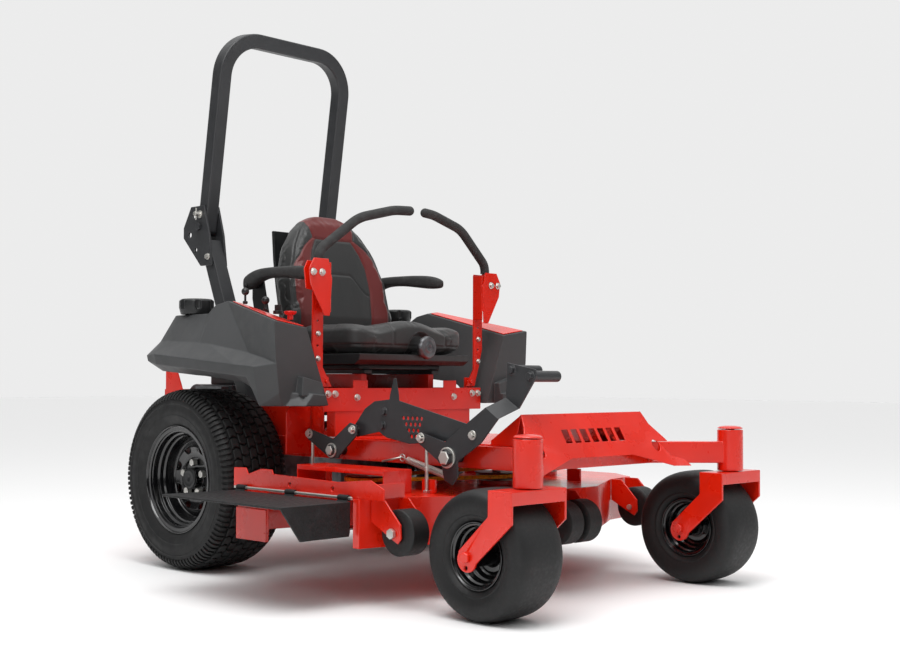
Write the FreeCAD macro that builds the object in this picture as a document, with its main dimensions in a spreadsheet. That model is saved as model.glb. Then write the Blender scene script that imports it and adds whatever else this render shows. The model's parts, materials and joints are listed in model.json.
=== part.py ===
"""Zero turn mower: mid-mounted cutting deck, lap-bar steering, folding roll-over bar.

Machine axes, in millimetres: X to the operator's left, Y rearward, Z up. The ground is Z = 0, the rear axle
is Y = 0 and the mid-plane is X = 0. Each sub-part is drawn in those axes, and its Placement then centres
the whole machine's footprint on the document's origin.
"""
import FreeCAD, Part
import math
import os
from types import SimpleNamespace

import Sketcher

V = FreeCAD.Vector

# ------------------------------------------------------------------ driving sizes, kept in the spreadsheet

SIZES = {
    # clearances
    "running_gap": 0.05,
    "working_gap": 0.5,
    "seat_gap": 0.02,
    # rear wheels
    "rear_tyre_radius": 283.5,
    "rear_tyre_width": 251,
    "rear_wheel_x": 448.5,
    "rear_rim_radius": 152.4,
    "rear_flange_radius": 169.5,
    "rear_rim_half": 110,
    "rear_disc_offset": 32,
    "rim_wall": 5,
    "tyre_wall": 13,
    "axle_radius": 16,
    "axle_housing_radius": 46,
    "hub_radius": 66,
    "stud_circle": 50,
    # front casters
    "front_tyre_radius": 165.6,
    "front_tyre_width": 172,
    "front_rim_radius": 76.2,
    "front_rim_half": 72,
    "caster_x": 462,
    "caster_ahead": 1350,
    "caster_trail": 107,
    "caster_axle_radius": 9.5,
    "fork_half": 105.7,
    "fork_plate": 8,
    "fork_bridge": 12,
    "fork_depth": 76,
    "kingpin_radius": 12.7,
    "barrel_radius": 37.5,
    "barrel_bore": 26,
    "barrel_above_rail": 35,
    "barrel_below_rail": 23,
    "bearing_height": 18,
    # main frame
    "rail_x": 300,
    "rail_width": 50,
    "rail_depth": 62,
    "rail_wall": 5,
    "rail_short_of_caster": 140,
    "rail_behind": 508,
    "hitch_behind": 515,
    "hitch_hole": 10,
    # seat frame and floor
    "riser_ahead": 460,
    "riser_half": 350,
    "riser_bottom": 501,
    "riser_top": 572,
    "floor_half": 262,
    "platform_height": 600,
    # roll-over bar
    "rops_tube": 50,
    "rops_wall": 5,
    "rops_x": 268,
    "rops_pivot_y": 250,
    "rops_pivot_z": 1118,
    "rops_top": 1790,
    "rops_bend": 135,
    "rops_lean": 8.5,
    "rops_plate": 8,
    "rops_pin_radius": 8,
    # steering levers
    "lever_hub_y": -430,
    "lever_hub_z": 545,
    "lever_pin_radius": 8,
    "swing_pin_radius": 6,
    "swing_x": 322,
    "swing_z": 592,
    "grip_radius": 15,
    # seat
    "cushion_half": 262,
    "backrest_half": 235,
    "armrest_pivot_y": 0,
    "armrest_pivot_z": 904,
    "armrest_pin_radius": 7,
    # deck, in its raised transport position
    "deck_bottom": 155,
    "deck_top": 285,
    "deck_sheet": 5,
    "deck_left": 690,
    "deck_right": 600,
    "spindle_centre_x": 40,
    "spindle_spacing": 385,
    "spindle_side_y": -655,
    "spindle_front_y": -805,
    "spindle_radius": 12.7,
    "blade_radius": 203,
    "blade_height": 175,
    "pulley_radius": 62,
    "belt_thickness": 9,
    "roller_radius": 61,
    "roller_axle_radius": 8,
    "deflector_reach": 850,
    "deflector_hinge_z": 287,
    "deflector_rod_radius": 4,
    # deck lift
    "crank_x": 345,
    "crank_plate": 6,
    "rod_x": 335,
    "rod_radius": 5,
    "lift_shaft_radius": 14,
    "front_crank_y": -971,
    "front_crank_z": 388,
    "rear_crank_y": -495,
    "rear_crank_z": 388,
    # tanks and controls
    "tank_outer": 588,
    "tank_plateau": 803,
    "tank_neck_radius": 32,
    "tank_neck_x": 450,
    "tank_neck_y": 53,
}


class Size:
    """A length worked out from the sheet: its number now, and the expression that keeps it live."""

    def __init__(self, number, text):
        self.number = number
        self.text = text

    def __add__(self, other):
        other = size(other)
        return Size(self.number + other.number, f"({self.text} + {other.text})")

    def __sub__(self, other):
        other = size(other)
        return Size(self.number - other.number, f"({self.text} - {other.text})")

    def __mul__(self, other):
        other = size(other)
        return Size(self.number * other.number, f"({self.text} * {other.text})")

    def __truediv__(self, other):
        other = size(other)
        return Size(self.number / other.number, f"({self.text} / {other.text})")

    def __radd__(self, other):
        return size(other) + self

    def __rsub__(self, other):
        return size(other) - self

    def __rmul__(self, other):
        return size(other) * self

    def __neg__(self):
        return -1 * self


def size(value):
    return value if isinstance(value, Size) else Size(float(value), f"({float(value)!r})")


def bearing_of(across, along):
    """The angle in degrees whose tangent is across over along."""
    return Size(math.degrees(math.atan2(across.number, along.number)), f"atan2({across.text}; {along.text})")


doc = FreeCAD.newDocument("ZeroTurnMower")
sheet = doc.addObject("Spreadsheet::Sheet", "Dims")
for row, (alias, amount) in enumerate(SIZES.items(), start=1):
    sheet.set(f"A{row}", alias.replace("_", " "))
    sheet.set(f"B{row}", str(amount))
    sheet.setAlias(f"B{row}", alias)
doc.recompute()
D = SimpleNamespace(**{alias: Size(float(amount), "Dims." + alias) for alias, amount in SIZES.items()})

# Heights and places that several groups share
CASTER_Y = -D.caster_ahead
FRONT_AXLE_Y = CASTER_Y + D.caster_trail
BRIDGE_BOTTOM = 2 * D.front_tyre_radius - 9
BRIDGE_TOP = BRIDGE_BOTTOM + D.fork_bridge
BARREL_BOTTOM = BRIDGE_TOP + 2
RAIL_BOTTOM = BARREL_BOTTOM + D.barrel_below_rail
RAIL_TOP = RAIL_BOTTOM + D.rail_depth
BARREL_TOP = RAIL_TOP + D.barrel_above_rail
RAIL_FRONT = CASTER_Y + D.rail_short_of_caster
RAIL_INNER = D.rail_x - D.rail_width
SHIFT_X = (D.deflector_reach - D.deck_left) / 2
SHIFT_Y = (-FRONT_AXLE_Y + D.front_tyre_radius - D.hitch_behind) / 2

# --------------------------------------------------------------------------------- modelling helpers

NODES = {}


def bind(part, name, value):
    part.setExpression(name, size(value).text)


def place(part, x=0, y=0, z=0):
    for axis, where in zip("xyz", (x, y, z)):
        bind(part, "Placement.Base." + axis, where)
    return part


def on_axis(axis, along, u, v):
    """Order one place along an axis and two across it as x, y, z."""
    return {"x": (along, u, v), "y": (u, along, v), "z": (u, v, along)}[axis]


def box(x, y, z):
    """A block between two places on each axis: x, y and z are (low, high) pairs."""
    part = doc.addObject("Part::Box", "Block")
    for length, (low, high) in zip(("Length", "Width", "Height"), (x, y, z)):
        bind(part, length, size(high) - low)
    return place(part, x[0], y[0], z[0])


def turn_to(part, axis):
    """Turn a part that is made along Z so that it lies along the axis."""
    direction, angle = {"x": (V(0, 1, 0), 90), "y": (V(1, 0, 0), -90), "z": (V(0, 0, 1), 0)}[axis]
    part.Placement = FreeCAD.Placement(V(), FreeCAD.Rotation(direction, angle))
    return part


def rod(axis, radius, start, end, u, v):
    """A round bar along an axis from start to end, centred at u, v across it."""
    part = turn_to(doc.addObject("Part::Cylinder", "Bar"), axis)
    bind(part, "Radius", radius)
    bind(part, "Height", size(end) - start)
    return place(part, *on_axis(axis, start, u, v))


def hexagon(axis, radius, start, end, u, v):
    """A hexagonal bar, such as a bolt head or a nut; radius reaches its corners."""
    part = turn_to(doc.addObject("Part::Prism", "Hexagon"), axis)
    part.Polygon = 6
    bind(part, "Circumradius", radius)
    bind(part, "Height", size(end) - start)
    return place(part, *on_axis(axis, start, u, v))


def ball(radius, x, y, z):
    part = doc.addObject("Part::Sphere", "Ball")
    bind(part, "Radius", radius)
    return place(part, x, y, z)


def fuse(*parts):
    joined = doc.addObject("Part::MultiFuse", "Joined")
    joined.Shapes = list(parts)
    joined.Refine = True
    return joined


def cut(base, *tools):
    for tool in tools:
        result = doc.addObject("Part::Cut", "Trimmed")
        result.Base = base
        result.Tool = tool
        base = result
    return base


def common(first, second):
    shared = doc.addObject("Part::MultiCommon", "Shared")
    shared.Shapes = [first, second]
    return shared


def tube(axis, outer, inner, start, end, u, v):
    """A round bar with a hole right through it."""
    return cut(rod(axis, outer, start, end, u, v), rod(axis, inner, size(start) - 1, size(end) + 1, u, v))


def mirrored(part):
    """The same piece on the other side of the mid-plane."""
    twin = doc.addObject("Part::Mirroring", "Twin")
    twin.Source = part
    twin.Normal = V(1, 0, 0)
    return twin


def both(*parts):
    """Each part and its twin on the other side."""
    return [*parts, *(mirrored(part) for part in parts)]


def origin_plane(body, role):
    return next(feature for feature in body.Origin.OriginFeatures if feature.Role == role)


def new_sketch(body, role, offset=0):
    """A sketch on one of the body's own planes, moved along the plane's normal."""
    sketch = body.newObject("Sketcher::SketchObject", "Outline")
    sketch.AttachmentSupport = [(origin_plane(body, role), "")]
    sketch.MapMode = "FlatFace"
    bind(sketch, "AttachmentOffset.Base.z", offset)
    return sketch


def pin_down(sketch, geometry, point, u, v):
    """Fix one point of a sketch's geometry at u, v from the sketch's origin."""
    for kind, value in (("DistanceX", u), ("DistanceY", v)):
        index = sketch.addConstraint(Sketcher.Constraint(kind, -1, 1, geometry, point, size(value).number))
        bind(sketch, f"Constraints[{index}]", value)


def draw_outline(sketch, points):
    """A closed run of straight lines through the points."""
    corners = [V(size(u).number, size(v).number, 0) for u, v in points]
    lines = []
    for start, end in zip(corners, corners[1:] + corners[:1]):
        lines.append(sketch.addGeometry(Part.LineSegment(start, end), False))
    for here, after in zip(lines, lines[1:] + lines[:1]):
        sketch.addConstraint(Sketcher.Constraint("Coincident", here, 2, after, 1))
    for line, (u, v) in zip(lines, points):
        pin_down(sketch, line, 1, u, v)


def draw_circle(sketch, u, v, radius):
    centre = V(size(u).number, size(v).number, 0)
    circle = sketch.addGeometry(Part.Circle(centre, V(0, 0, 1), size(radius).number), False)
    pin_down(sketch, circle, 3, u, v)
    index = sketch.addConstraint(Sketcher.Constraint("Radius", circle, size(radius).number))
    bind(sketch, f"Constraints[{index}]", radius)


def prism(axis, low, high, points, holes=()):
    """An outline across an axis, padded from low to high; holes are (u, v, radius)."""
    role, offset = {"x": ("YZ_Plane", low), "y": ("XZ_Plane", -size(high)), "z": ("XY_Plane", low)}[axis]
    body = doc.addObject("PartDesign::Body", "Plate")
    sketch = new_sketch(body, role, offset)
    draw_outline(sketch, points)
    for u, v, radius in holes:
        draw_circle(sketch, u, v, radius)
    pad = body.newObject("PartDesign::Pad", "Pad")
    pad.Profile = sketch
    bind(pad, "Length", size(high) - low)
    return body


def turned(axis, points, u=0, v=0):
    """A profile of (along, radius) points turned right round an axis that passes through u, v."""
    body = doc.addObject("PartDesign::Body", "Turned")
    role = {"x": "XZ_Plane", "y": "YZ_Plane", "z": "XZ_Plane"}[axis]
    sketch = new_sketch(body, role)
    draw_outline(sketch, [(radius, along) if axis == "z" else (along, radius) for along, radius in points])
    turn = body.newObject("PartDesign::Revolution", "Turn")
    turn.Profile = sketch
    turn.ReferenceAxis = (sketch, ["V_Axis" if axis == "z" else "H_Axis"])
    turn.Angle = 360
    return place(body, *on_axis(axis, 0, u, v))


def folded_sheet(facets, push):
    """Flat facets that share edges, each pushed the same way, which leaves one folded sheet."""
    pieces = []
    for facet in facets:
        corners = [V(*(size(value).number for value in corner)) for corner in facet]
        face = Part.Face(Part.makePolygon(corners + corners[:1]))
        pieces.append(face.extrude(V(*push)))
    part = doc.addObject("Part::Feature", "FoldedSheet")
    part.Shape = pieces[0].multiFuse(pieces[1:]).removeSplitter() if len(pieces) > 1 else pieces[0]
    return part


def bent_bar(points, radius, bends):
    """A round bar along straight runs, with each corner between them rounded to its own bend radius."""
    corners = [V(*(size(value).number for value in point)) for point in points]
    edges = []
    start = corners[0]
    for before, corner, after, bend in zip(corners, corners[1:], corners[2:], bends):
        inward, outward = (before - corner).normalize(), (after - corner).normalize()
        half = inward.getAngle(outward) / 2
        reach = bend / math.tan(half)
        middle = corner + (inward + outward).normalize() * (bend / math.sin(half) - bend)
        first, last = corner + inward * reach, corner + outward * reach
        edges += [Part.LineSegment(start, first).toShape(), Part.Arc(first, middle, last).toShape()]
        start = last
    edges.append(Part.LineSegment(start, corners[-1]).toShape())
    path = Part.Wire(edges)
    circle = Part.Wire(Part.makeCircle(size(radius).number, corners[0], corners[1] - corners[0]))
    part = doc.addObject("Part::Feature", "BentBar")
    part.Shape = path.makePipeShell([circle], True, False)
    return part


def node(name, *pieces):
    """One named sub-part of the machine, moved with the rest to the document's origin."""
    group = doc.addObject("Part::Compound", name)
    group.Label = name
    group.Links = list(pieces)
    NODES[name] = place(group, SHIFT_X, SHIFT_Y)
    return group


def node_pair(name, *left_pieces):
    """A left-hand sub-part and its mirrored right-hand twin."""
    left = node(name + "_left", *left_pieces)
    right = doc.addObject("Part::Mirroring", name + "_right")
    right.Label = name + "_right"
    right.Source = left
    right.Normal = V(1, 0, 0)
    bind(right, "Base.x", SHIFT_X)
    NODES[right.Label] = right


def bolt(axis, face, u, v, way=1, radius=10):
    """A washer and hex head standing on a face; way is the direction that they stand out."""
    washer, head = 2, 0.75 * radius
    spans = [sorted((0, way * washer)), sorted((way * washer, way * (washer + head)))]
    base = size(face)
    return fuse(rod(axis, 1.25 * radius, base + spans[0][0], base + spans[0][1], u, v),
                hexagon(axis, radius, base + spans[1][0], base + spans[1][1], u, v))


# ------------------------------------------------------------------------------------- rear wheels

def rear_wheels():
    centre, half, bead = D.rear_wheel_x, D.rear_tyre_width / 2, D.rear_rim_radius
    tall = D.rear_tyre_radius - bead
    outer = [(-0.80, 0), (-0.80, 0.14), (-1, 0.48), (-1, 0.62), (-0.93, 0.84), (-0.78, 0.945), (-0.5, 0.99),
             (0.5, 0.99), (0.78, 0.945), (0.93, 0.84), (1, 0.62), (1, 0.48), (0.80, 0.14), (0.80, 0)]
    crown = [(centre + half * across, bead + tall * up) for across, up in outer]
    crown.insert(7, (centre, D.rear_tyre_radius))
    wall = D.tyre_wall
    inside = [(0.80, 0, -1), (0.80, 0.14, -1), (1, 0.50, -1), (1, 0.60, -1), (0.86, 0.82, -0.8),
              (0.5, 0.99, 0)]
    hollow = [(centre + half * across + wall * inset, bead + tall * up - wall * (up > 0.8))
              for across, up, inset in inside]
    hollow += [(centre - half * across - wall * inset, bead + tall * up - wall * (up > 0.8))
               for across, up, inset in reversed(inside)]
    carcass = turned("x", crown[:1] + crown[1:] + hollow, 0, D.rear_tyre_radius)
    node_pair("rear_tyre", carcass)

    flange, wide, sheet_wall = D.rear_flange_radius, D.rear_rim_half, D.rim_wall
    inner_edge, outer_edge = centre - wide, centre + wide
    disc = centre + D.rear_disc_offset
    well = bead - 13
    gap = D.seat_gap
    rim = turned("x", [
        (outer_edge, flange), (outer_edge - sheet_wall, flange), (outer_edge - sheet_wall, bead - gap),
        (centre + 62, bead - gap), (centre + 52, well), (centre - 52, well), (centre - 62, bead - gap),
        (inner_edge + sheet_wall, bead - gap), (inner_edge + sheet_wall, flange), (inner_edge, flange),
        (inner_edge, bead - sheet_wall), (centre - 64.5, bead - sheet_wall), (centre - 54.5, well - sheet_wall),
        (disc - 4, well - sheet_wall), (disc - 4, 118), (disc + 10, 104), (disc, 88), (disc, 36),
        (disc + sheet_wall, 36), (disc + sheet_wall, 86), (disc + 16, 104), (disc + 1, 121),
        (disc + 6, well - sheet_wall), (centre + 54.5, well - sheet_wall), (centre + 64.5, bead - sheet_wall),
        (outer_edge, bead - sheet_wall)], 0, D.rear_tyre_radius)
    node_pair("rear_rim", rim)

    axle_z = D.rear_tyre_radius
    hub = fuse(rod("x", D.hub_radius, disc - 12, disc, 0, axle_z),
               rod("x", 40, disc - 60, disc - 12, 0, axle_z),
               rod("x", D.axle_radius, 190, disc + 8, 0, axle_z),
               rod("x", 34, disc, disc + 26, 0, axle_z))
    nuts = []
    for step in range(5):
        angle = math.radians(90 + 72 * step)
        y = D.stud_circle * math.cos(angle)
        z = axle_z + D.stud_circle * math.sin(angle)
        nuts.append(hexagon("x", 12, disc + sheet_wall, disc + 22, y, z))
    node_pair("rear_hub", hub, *nuts)


# ----------------------------------------------------------------------------------- front casters

def casters():
    x, half = D.caster_x, D.fork_half
    axle_y, axle_z = FRONT_AXLE_Y, D.front_tyre_radius
    front, back = CASTER_Y - D.fork_depth / 2, CASTER_Y + D.fork_depth / 2
    bridge = box((x - half, x + half), (front, back), (BRIDGE_BOTTOM, BRIDGE_TOP))
    lip = box((x - half, x + half), (front, front + D.fork_plate), (BRIDGE_BOTTOM - 22, BRIDGE_BOTTOM))
    leg_outline = [(front, BRIDGE_TOP), (back, BRIDGE_TOP), (back, BRIDGE_BOTTOM - 52),
                   (axle_y + 27, axle_z + 14), (axle_y + 25, axle_z - 14), (axle_y - 18, axle_z - 24),
                   (front, BRIDGE_BOTTOM - 66)]
    legs = []
    for near in (x - half, x + half - D.fork_plate):
        leg = prism("x", near, near + D.fork_plate, leg_outline)
        legs += [leg, rod("x", 31, near, near + D.fork_plate, axle_y, axle_z - 6)]
    kingpin = rod("z", D.kingpin_radius, BRIDGE_TOP - 4, BARREL_TOP + 3, x, CASTER_Y)
    shoulder = rod("z", D.barrel_bore - 4, BRIDGE_TOP, BARREL_BOTTOM - 0.4, x, CASTER_Y)
    fork = cut(fuse(bridge, lip, kingpin, shoulder, *legs),
               rod("x", D.caster_axle_radius, x - half - 1, x + half + 1, axle_y, axle_z),
               rod("x", 5.5, x - half - 1, x + half + 1, axle_y + 2, axle_z - 26))
    cap = turned("z", [(BARREL_TOP + 3, 0), (BARREL_TOP + 3, 36), (BARREL_TOP + 5, 36), (BARREL_TOP + 9, 30),
                       (BARREL_TOP + 11, 16), (BARREL_TOP + 11.5, 0)], x, CASTER_Y)
    axle = fuse(rod("x", D.caster_axle_radius, x - half - 8, x + half + 8, axle_y, axle_z),
                *(hexagon("x", 15, start, start + 11, axle_y, axle_z) for start in (x - half - 11, x + half)))
    node_pair("caster_fork", fork, axle, cap)

    wide, bead = D.front_tyre_width / 2, D.front_rim_radius
    tall = D.front_tyre_radius - bead
    outside = [(0.74, 0), (0.74, 0.16), (0.97, 0.46), (1, 0.62), (0.90, 0.84), (0.66, 0.955), (0.34, 0.995)]
    inside = [(0.38, 0.83), (0.74, 0.72), (0.84, 0.5), (0.62, 0.16), (0.58, 0)]
    loop = [(x + wide * across, bead + tall * up) for across, up in outside]
    loop += [(x, D.front_tyre_radius)]
    loop += [(x - wide * across, bead + tall * up) for across, up in reversed(outside)]
    loop += [(x - wide * across, bead + tall * up) for across, up in reversed(inside)]
    loop += [(x + wide * across, bead + tall * up) for across, up in inside]
    node_pair("front_tyre", turned("x", loop, axle_y, axle_z))

    rim_half, wall, gap = D.front_rim_half, D.rim_wall - 2, D.seat_gap
    bore = D.caster_axle_radius + D.running_gap
    hub_half = half - D.fork_plate - 2
    flange = bead + 9
    seat = 0.74 * wide
    rim = turned("x", [
        (x + rim_half, flange), (x + seat + gap, flange), (x + seat + gap, bead - gap),
        (x - seat - gap, bead - gap), (x - seat - gap, flange), (x - rim_half, flange),
        (x - rim_half, bead - wall), (x - 6, bead - wall), (x - 4, 54), (x - 12, 40), (x - 12, 24),
        (x - hub_half, 24), (x - hub_half, bore), (x + hub_half, bore), (x + hub_half, 24), (x - 8, 24),
        (x - 8, 39), (x + 0.5, 54), (x - 1, bead - wall), (x + rim_half, bead - wall)], axle_y, axle_z)
    vents = []
    for step in range(5):
        angle = math.radians(18 + 72 * step)
        vents.append(rod("x", 8, x - 30, x + 12, axle_y + 49 * math.cos(angle), axle_z + 49 * math.sin(angle)))
    node_pair("front_rim", cut(rim, *vents))


# -------------------------------------------------------------------------------------- main frame

def frame():
    wall, width = D.rail_wall, D.rail_width
    rear = size(D.rail_behind)
    rail = box((RAIL_INNER, D.rail_x), (RAIL_FRONT, rear), (RAIL_BOTTOM, RAIL_TOP))
    rail_void = box((RAIL_INNER + wall, D.rail_x - wall), (RAIL_FRONT + wall, rear + 1),
                    (RAIL_BOTTOM + wall, RAIL_TOP - wall))
    arm = flare_arm()
    barrel = rod("z", D.barrel_radius, BARREL_BOTTOM, BARREL_TOP, D.caster_x, CASTER_Y)
    bore = rod("z", D.barrel_bore, BARREL_BOTTOM - 1, BARREL_TOP + 1, D.caster_x, CASTER_Y)
    shaft_hole = D.lift_shaft_radius + D.working_gap
    holes = [rod("x", shaft_hole, RAIL_INNER - 1, D.rail_x + 1, y, z) for y, z in
             ((D.front_crank_y, D.front_crank_z), (D.rear_crank_y, D.rear_crank_z))]
    axle_notch = rod("x", D.axle_housing_radius + 1, RAIL_INNER - 1, D.rail_x + 1, 0, D.rear_tyre_radius)
    side = cut(fuse(rail, arm, barrel), rail_void, bore, axle_notch, *holes)
    node("frame_rails", *both(side))

    bearings = []
    for low in (BARREL_BOTTOM, BARREL_TOP - D.bearing_height):
        bearings.append(tube("z", D.barrel_bore - D.seat_gap, D.kingpin_radius + D.running_gap,
                             low, low + D.bearing_height, D.caster_x, CASTER_Y))

    inner = (-RAIL_INNER, RAIL_INNER)
    front_tube = box(inner, (RAIL_FRONT + 5, RAIL_FRONT + 55), (RAIL_BOTTOM, RAIL_BOTTOM + 41))
    mid_tube = box(inner, (-330, -280), (RAIL_BOTTOM, RAIL_TOP))
    rear_tube = box(inner, (rear - 68, rear - 28), (RAIL_BOTTOM, RAIL_TOP))
    engine_deck = box((-D.floor_half, D.floor_half), (-10, rear - 8), (RAIL_TOP, RAIL_TOP + 5))
    hitch_hole = (0, rear - 12, D.hitch_hole)
    hitch = prism("z", RAIL_BOTTOM - 10, RAIL_BOTTOM,
                  [(-70, rear - 68), (70, rear - 68), (40, D.hitch_behind), (-40, D.hitch_behind)], [hitch_hole])
    wing = prism("y", -346, -340, [(D.rail_x, RAIL_BOTTOM + 12), (400, RAIL_BOTTOM + 12), (400, 500),
                                   (360, 540), (D.rail_x + 4, 540), (D.rail_x + 4, RAIL_TOP),
                                   (D.rail_x, RAIL_TOP)])
    guard_z = RAIL_TOP + 5
    guard_side = prism("x", 256, 262, [(400, guard_z), (rear - 8, guard_z), (rear - 8, 700), (470, 700), (400, 560)])
    guard_bars = [box((-262, 262), (rear - 8, rear - 2), span) for span in ((guard_z, 560), (640, 690))]
    node("frame_crossmembers", front_tube, mid_tube, rear_tube, engine_deck, hitch, *guard_bars,
         *both(wing, guard_side))
    return both(*bearings)


def flare_arm(margin=0):
    """The box arm from a rail's front end out to its caster barrel, grown all round by a margin."""
    root_x, root_y = D.rail_x - D.rail_width / 2, RAIL_FRONT + 25
    across, ahead = D.caster_x - root_x, CASTER_Y - root_y
    heading = bearing_of(ahead, across)
    turn = math.radians(heading.number)
    sine = Size(math.sin(turn), f"sin({heading.text})")
    cosine = Size(math.cos(turn), f"cos({heading.text})")
    arm = doc.addObject("Part::Box", "FlareArm")
    bind(arm, "Length", Size(math.hypot(across.number, ahead.number), f"sqrt({across.text}^2 + {ahead.text}^2)"))
    bind(arm, "Width", D.rail_width + 2 * margin)
    bind(arm, "Height", D.rail_depth + 2 * margin)
    arm.Placement = FreeCAD.Placement(V(), FreeCAD.Rotation(V(0, 0, 1), heading.number))
    bind(arm, "Placement.Rotation.Angle", heading)
    half = D.rail_width / 2 + margin
    return place(arm, root_x + sine * half, root_y - cosine * half, RAIL_BOTTOM - margin)


def floor_and_shield():
    half = D.floor_half
    top_y, top_z = RAIL_FRONT + 50, RAIL_TOP + 87
    toe = RAIL_FRONT + 162
    floor_end = -D.riser_ahead - 2
    floor = prism("x", -half, half, [(floor_end, RAIL_TOP), (floor_end, RAIL_TOP + 3), (toe, RAIL_TOP + 3),
                                     (top_y + 2, top_z), (top_y + 2, top_z - 5), (toe - 2, RAIL_TOP)])
    node("floor_pan", floor)

    def panel_y(z):
        """The main panel leans back as it rises."""
        return top_y - 2 - (top_z - z) * 0.577

    fold_z, foot_z = top_z - 35, top_z - 119
    top, fold, foot = ((270, panel_y(top_z), top_z), (282, panel_y(fold_z), fold_z),
                       (140, panel_y(foot_z), foot_z))
    brow = (318, RAIL_FRONT - 5, top_z - 78)
    toe_tip = (300, RAIL_FRONT - 52, top_z - 156)
    wing_tip = (345, RAIL_FRONT - 80, top_z - 156)
    facets = [[top, fold, foot, flip(foot), flip(fold), flip(top)]]
    for wing in ([fold, brow, foot], [brow, toe_tip, foot], [brow, wing_tip, toe_tip]):
        facets += [wing, [flip(corner) for corner in wing]]
    panel = folded_sheet(facets, (0, -4.5, 0))
    slots = []
    for column in range(-3, 4):
        slots.append(box((column * 40 - 14, column * 40 + 14), (RAIL_FRONT - 90, top_y),
                         (foot_z + 40, foot_z + 76)))
    notch = rod("y", 16, RAIL_FRONT - 100, top_y, 262, fold_z - 62)
    panel = cut(panel, *slots, *both(notch, flare_arm(1)))
    gusset = prism("x", half + 1, half + 5, [(top_y - 3, top_z), (top_y + 105, RAIL_TOP + 14),
                                             (top_y + 105, RAIL_TOP + 0.5), (top_y + 20, RAIL_TOP + 0.5)])
    node("front_shield", panel, *both(gusset))


def flip(point):
    """The same point on the other side of the mid-plane."""
    return (-point[0], point[1], point[2])


def seat_frame():
    front, half = -D.riser_ahead, D.riser_half
    low, high = D.riser_bottom, D.riser_top
    tab_in, tab_out = 170, 230
    outline = [(-half, low), (half, low), (half, high), (tab_out, high), (tab_out, high + 24),
               (tab_in, high + 24), (tab_in, high), (-tab_in, high), (-tab_in, high + 24),
               (-tab_out, high + 24), (-tab_out, high), (-half, high)]
    plate = prism("y", front, front + 4, outline)
    base = box((-D.rail_x, D.rail_x), (front + 4, front + 44), (RAIL_TOP + 3.2, low + 4))
    side_slots = [(y, z) for y in (-330, -290, -250) for z in (RAIL_TOP + 60,)]
    side = prism("x", D.rail_x - 6, D.rail_x - 2, [(-400, RAIL_TOP), (-90, RAIL_TOP), (-90, high),
                                                   (-400, high)], [(y, z, 10) for y, z in side_slots])
    shelf = box((-D.rail_x + 6, D.rail_x - 6), (-400, -90), (high - 8, high - 4))
    runners = [box((x - 12, x + 12), (-420, -100), (high - 4, D.platform_height + 16)) for x in (-150, 150)]
    hub_y, hub_z = D.lever_hub_y, D.lever_hub_z
    ears = []
    for low_x in (285, 345):
        ears.append(cut(box((low_x, low_x + 5), (front + 4, hub_y + 20), (hub_z - 22, hub_z + 22)),
                        rod("x", D.lever_pin_radius, low_x - 1, low_x + 6, hub_y, hub_z)))
    pin = rod("x", D.lever_pin_radius, 283, 352, hub_y, hub_z)
    node("seat_riser", plate, base, shelf, *runners, *both(side, *ears, pin))


# ------------------------------------------------------------------------------------ roll-over bar

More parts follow.
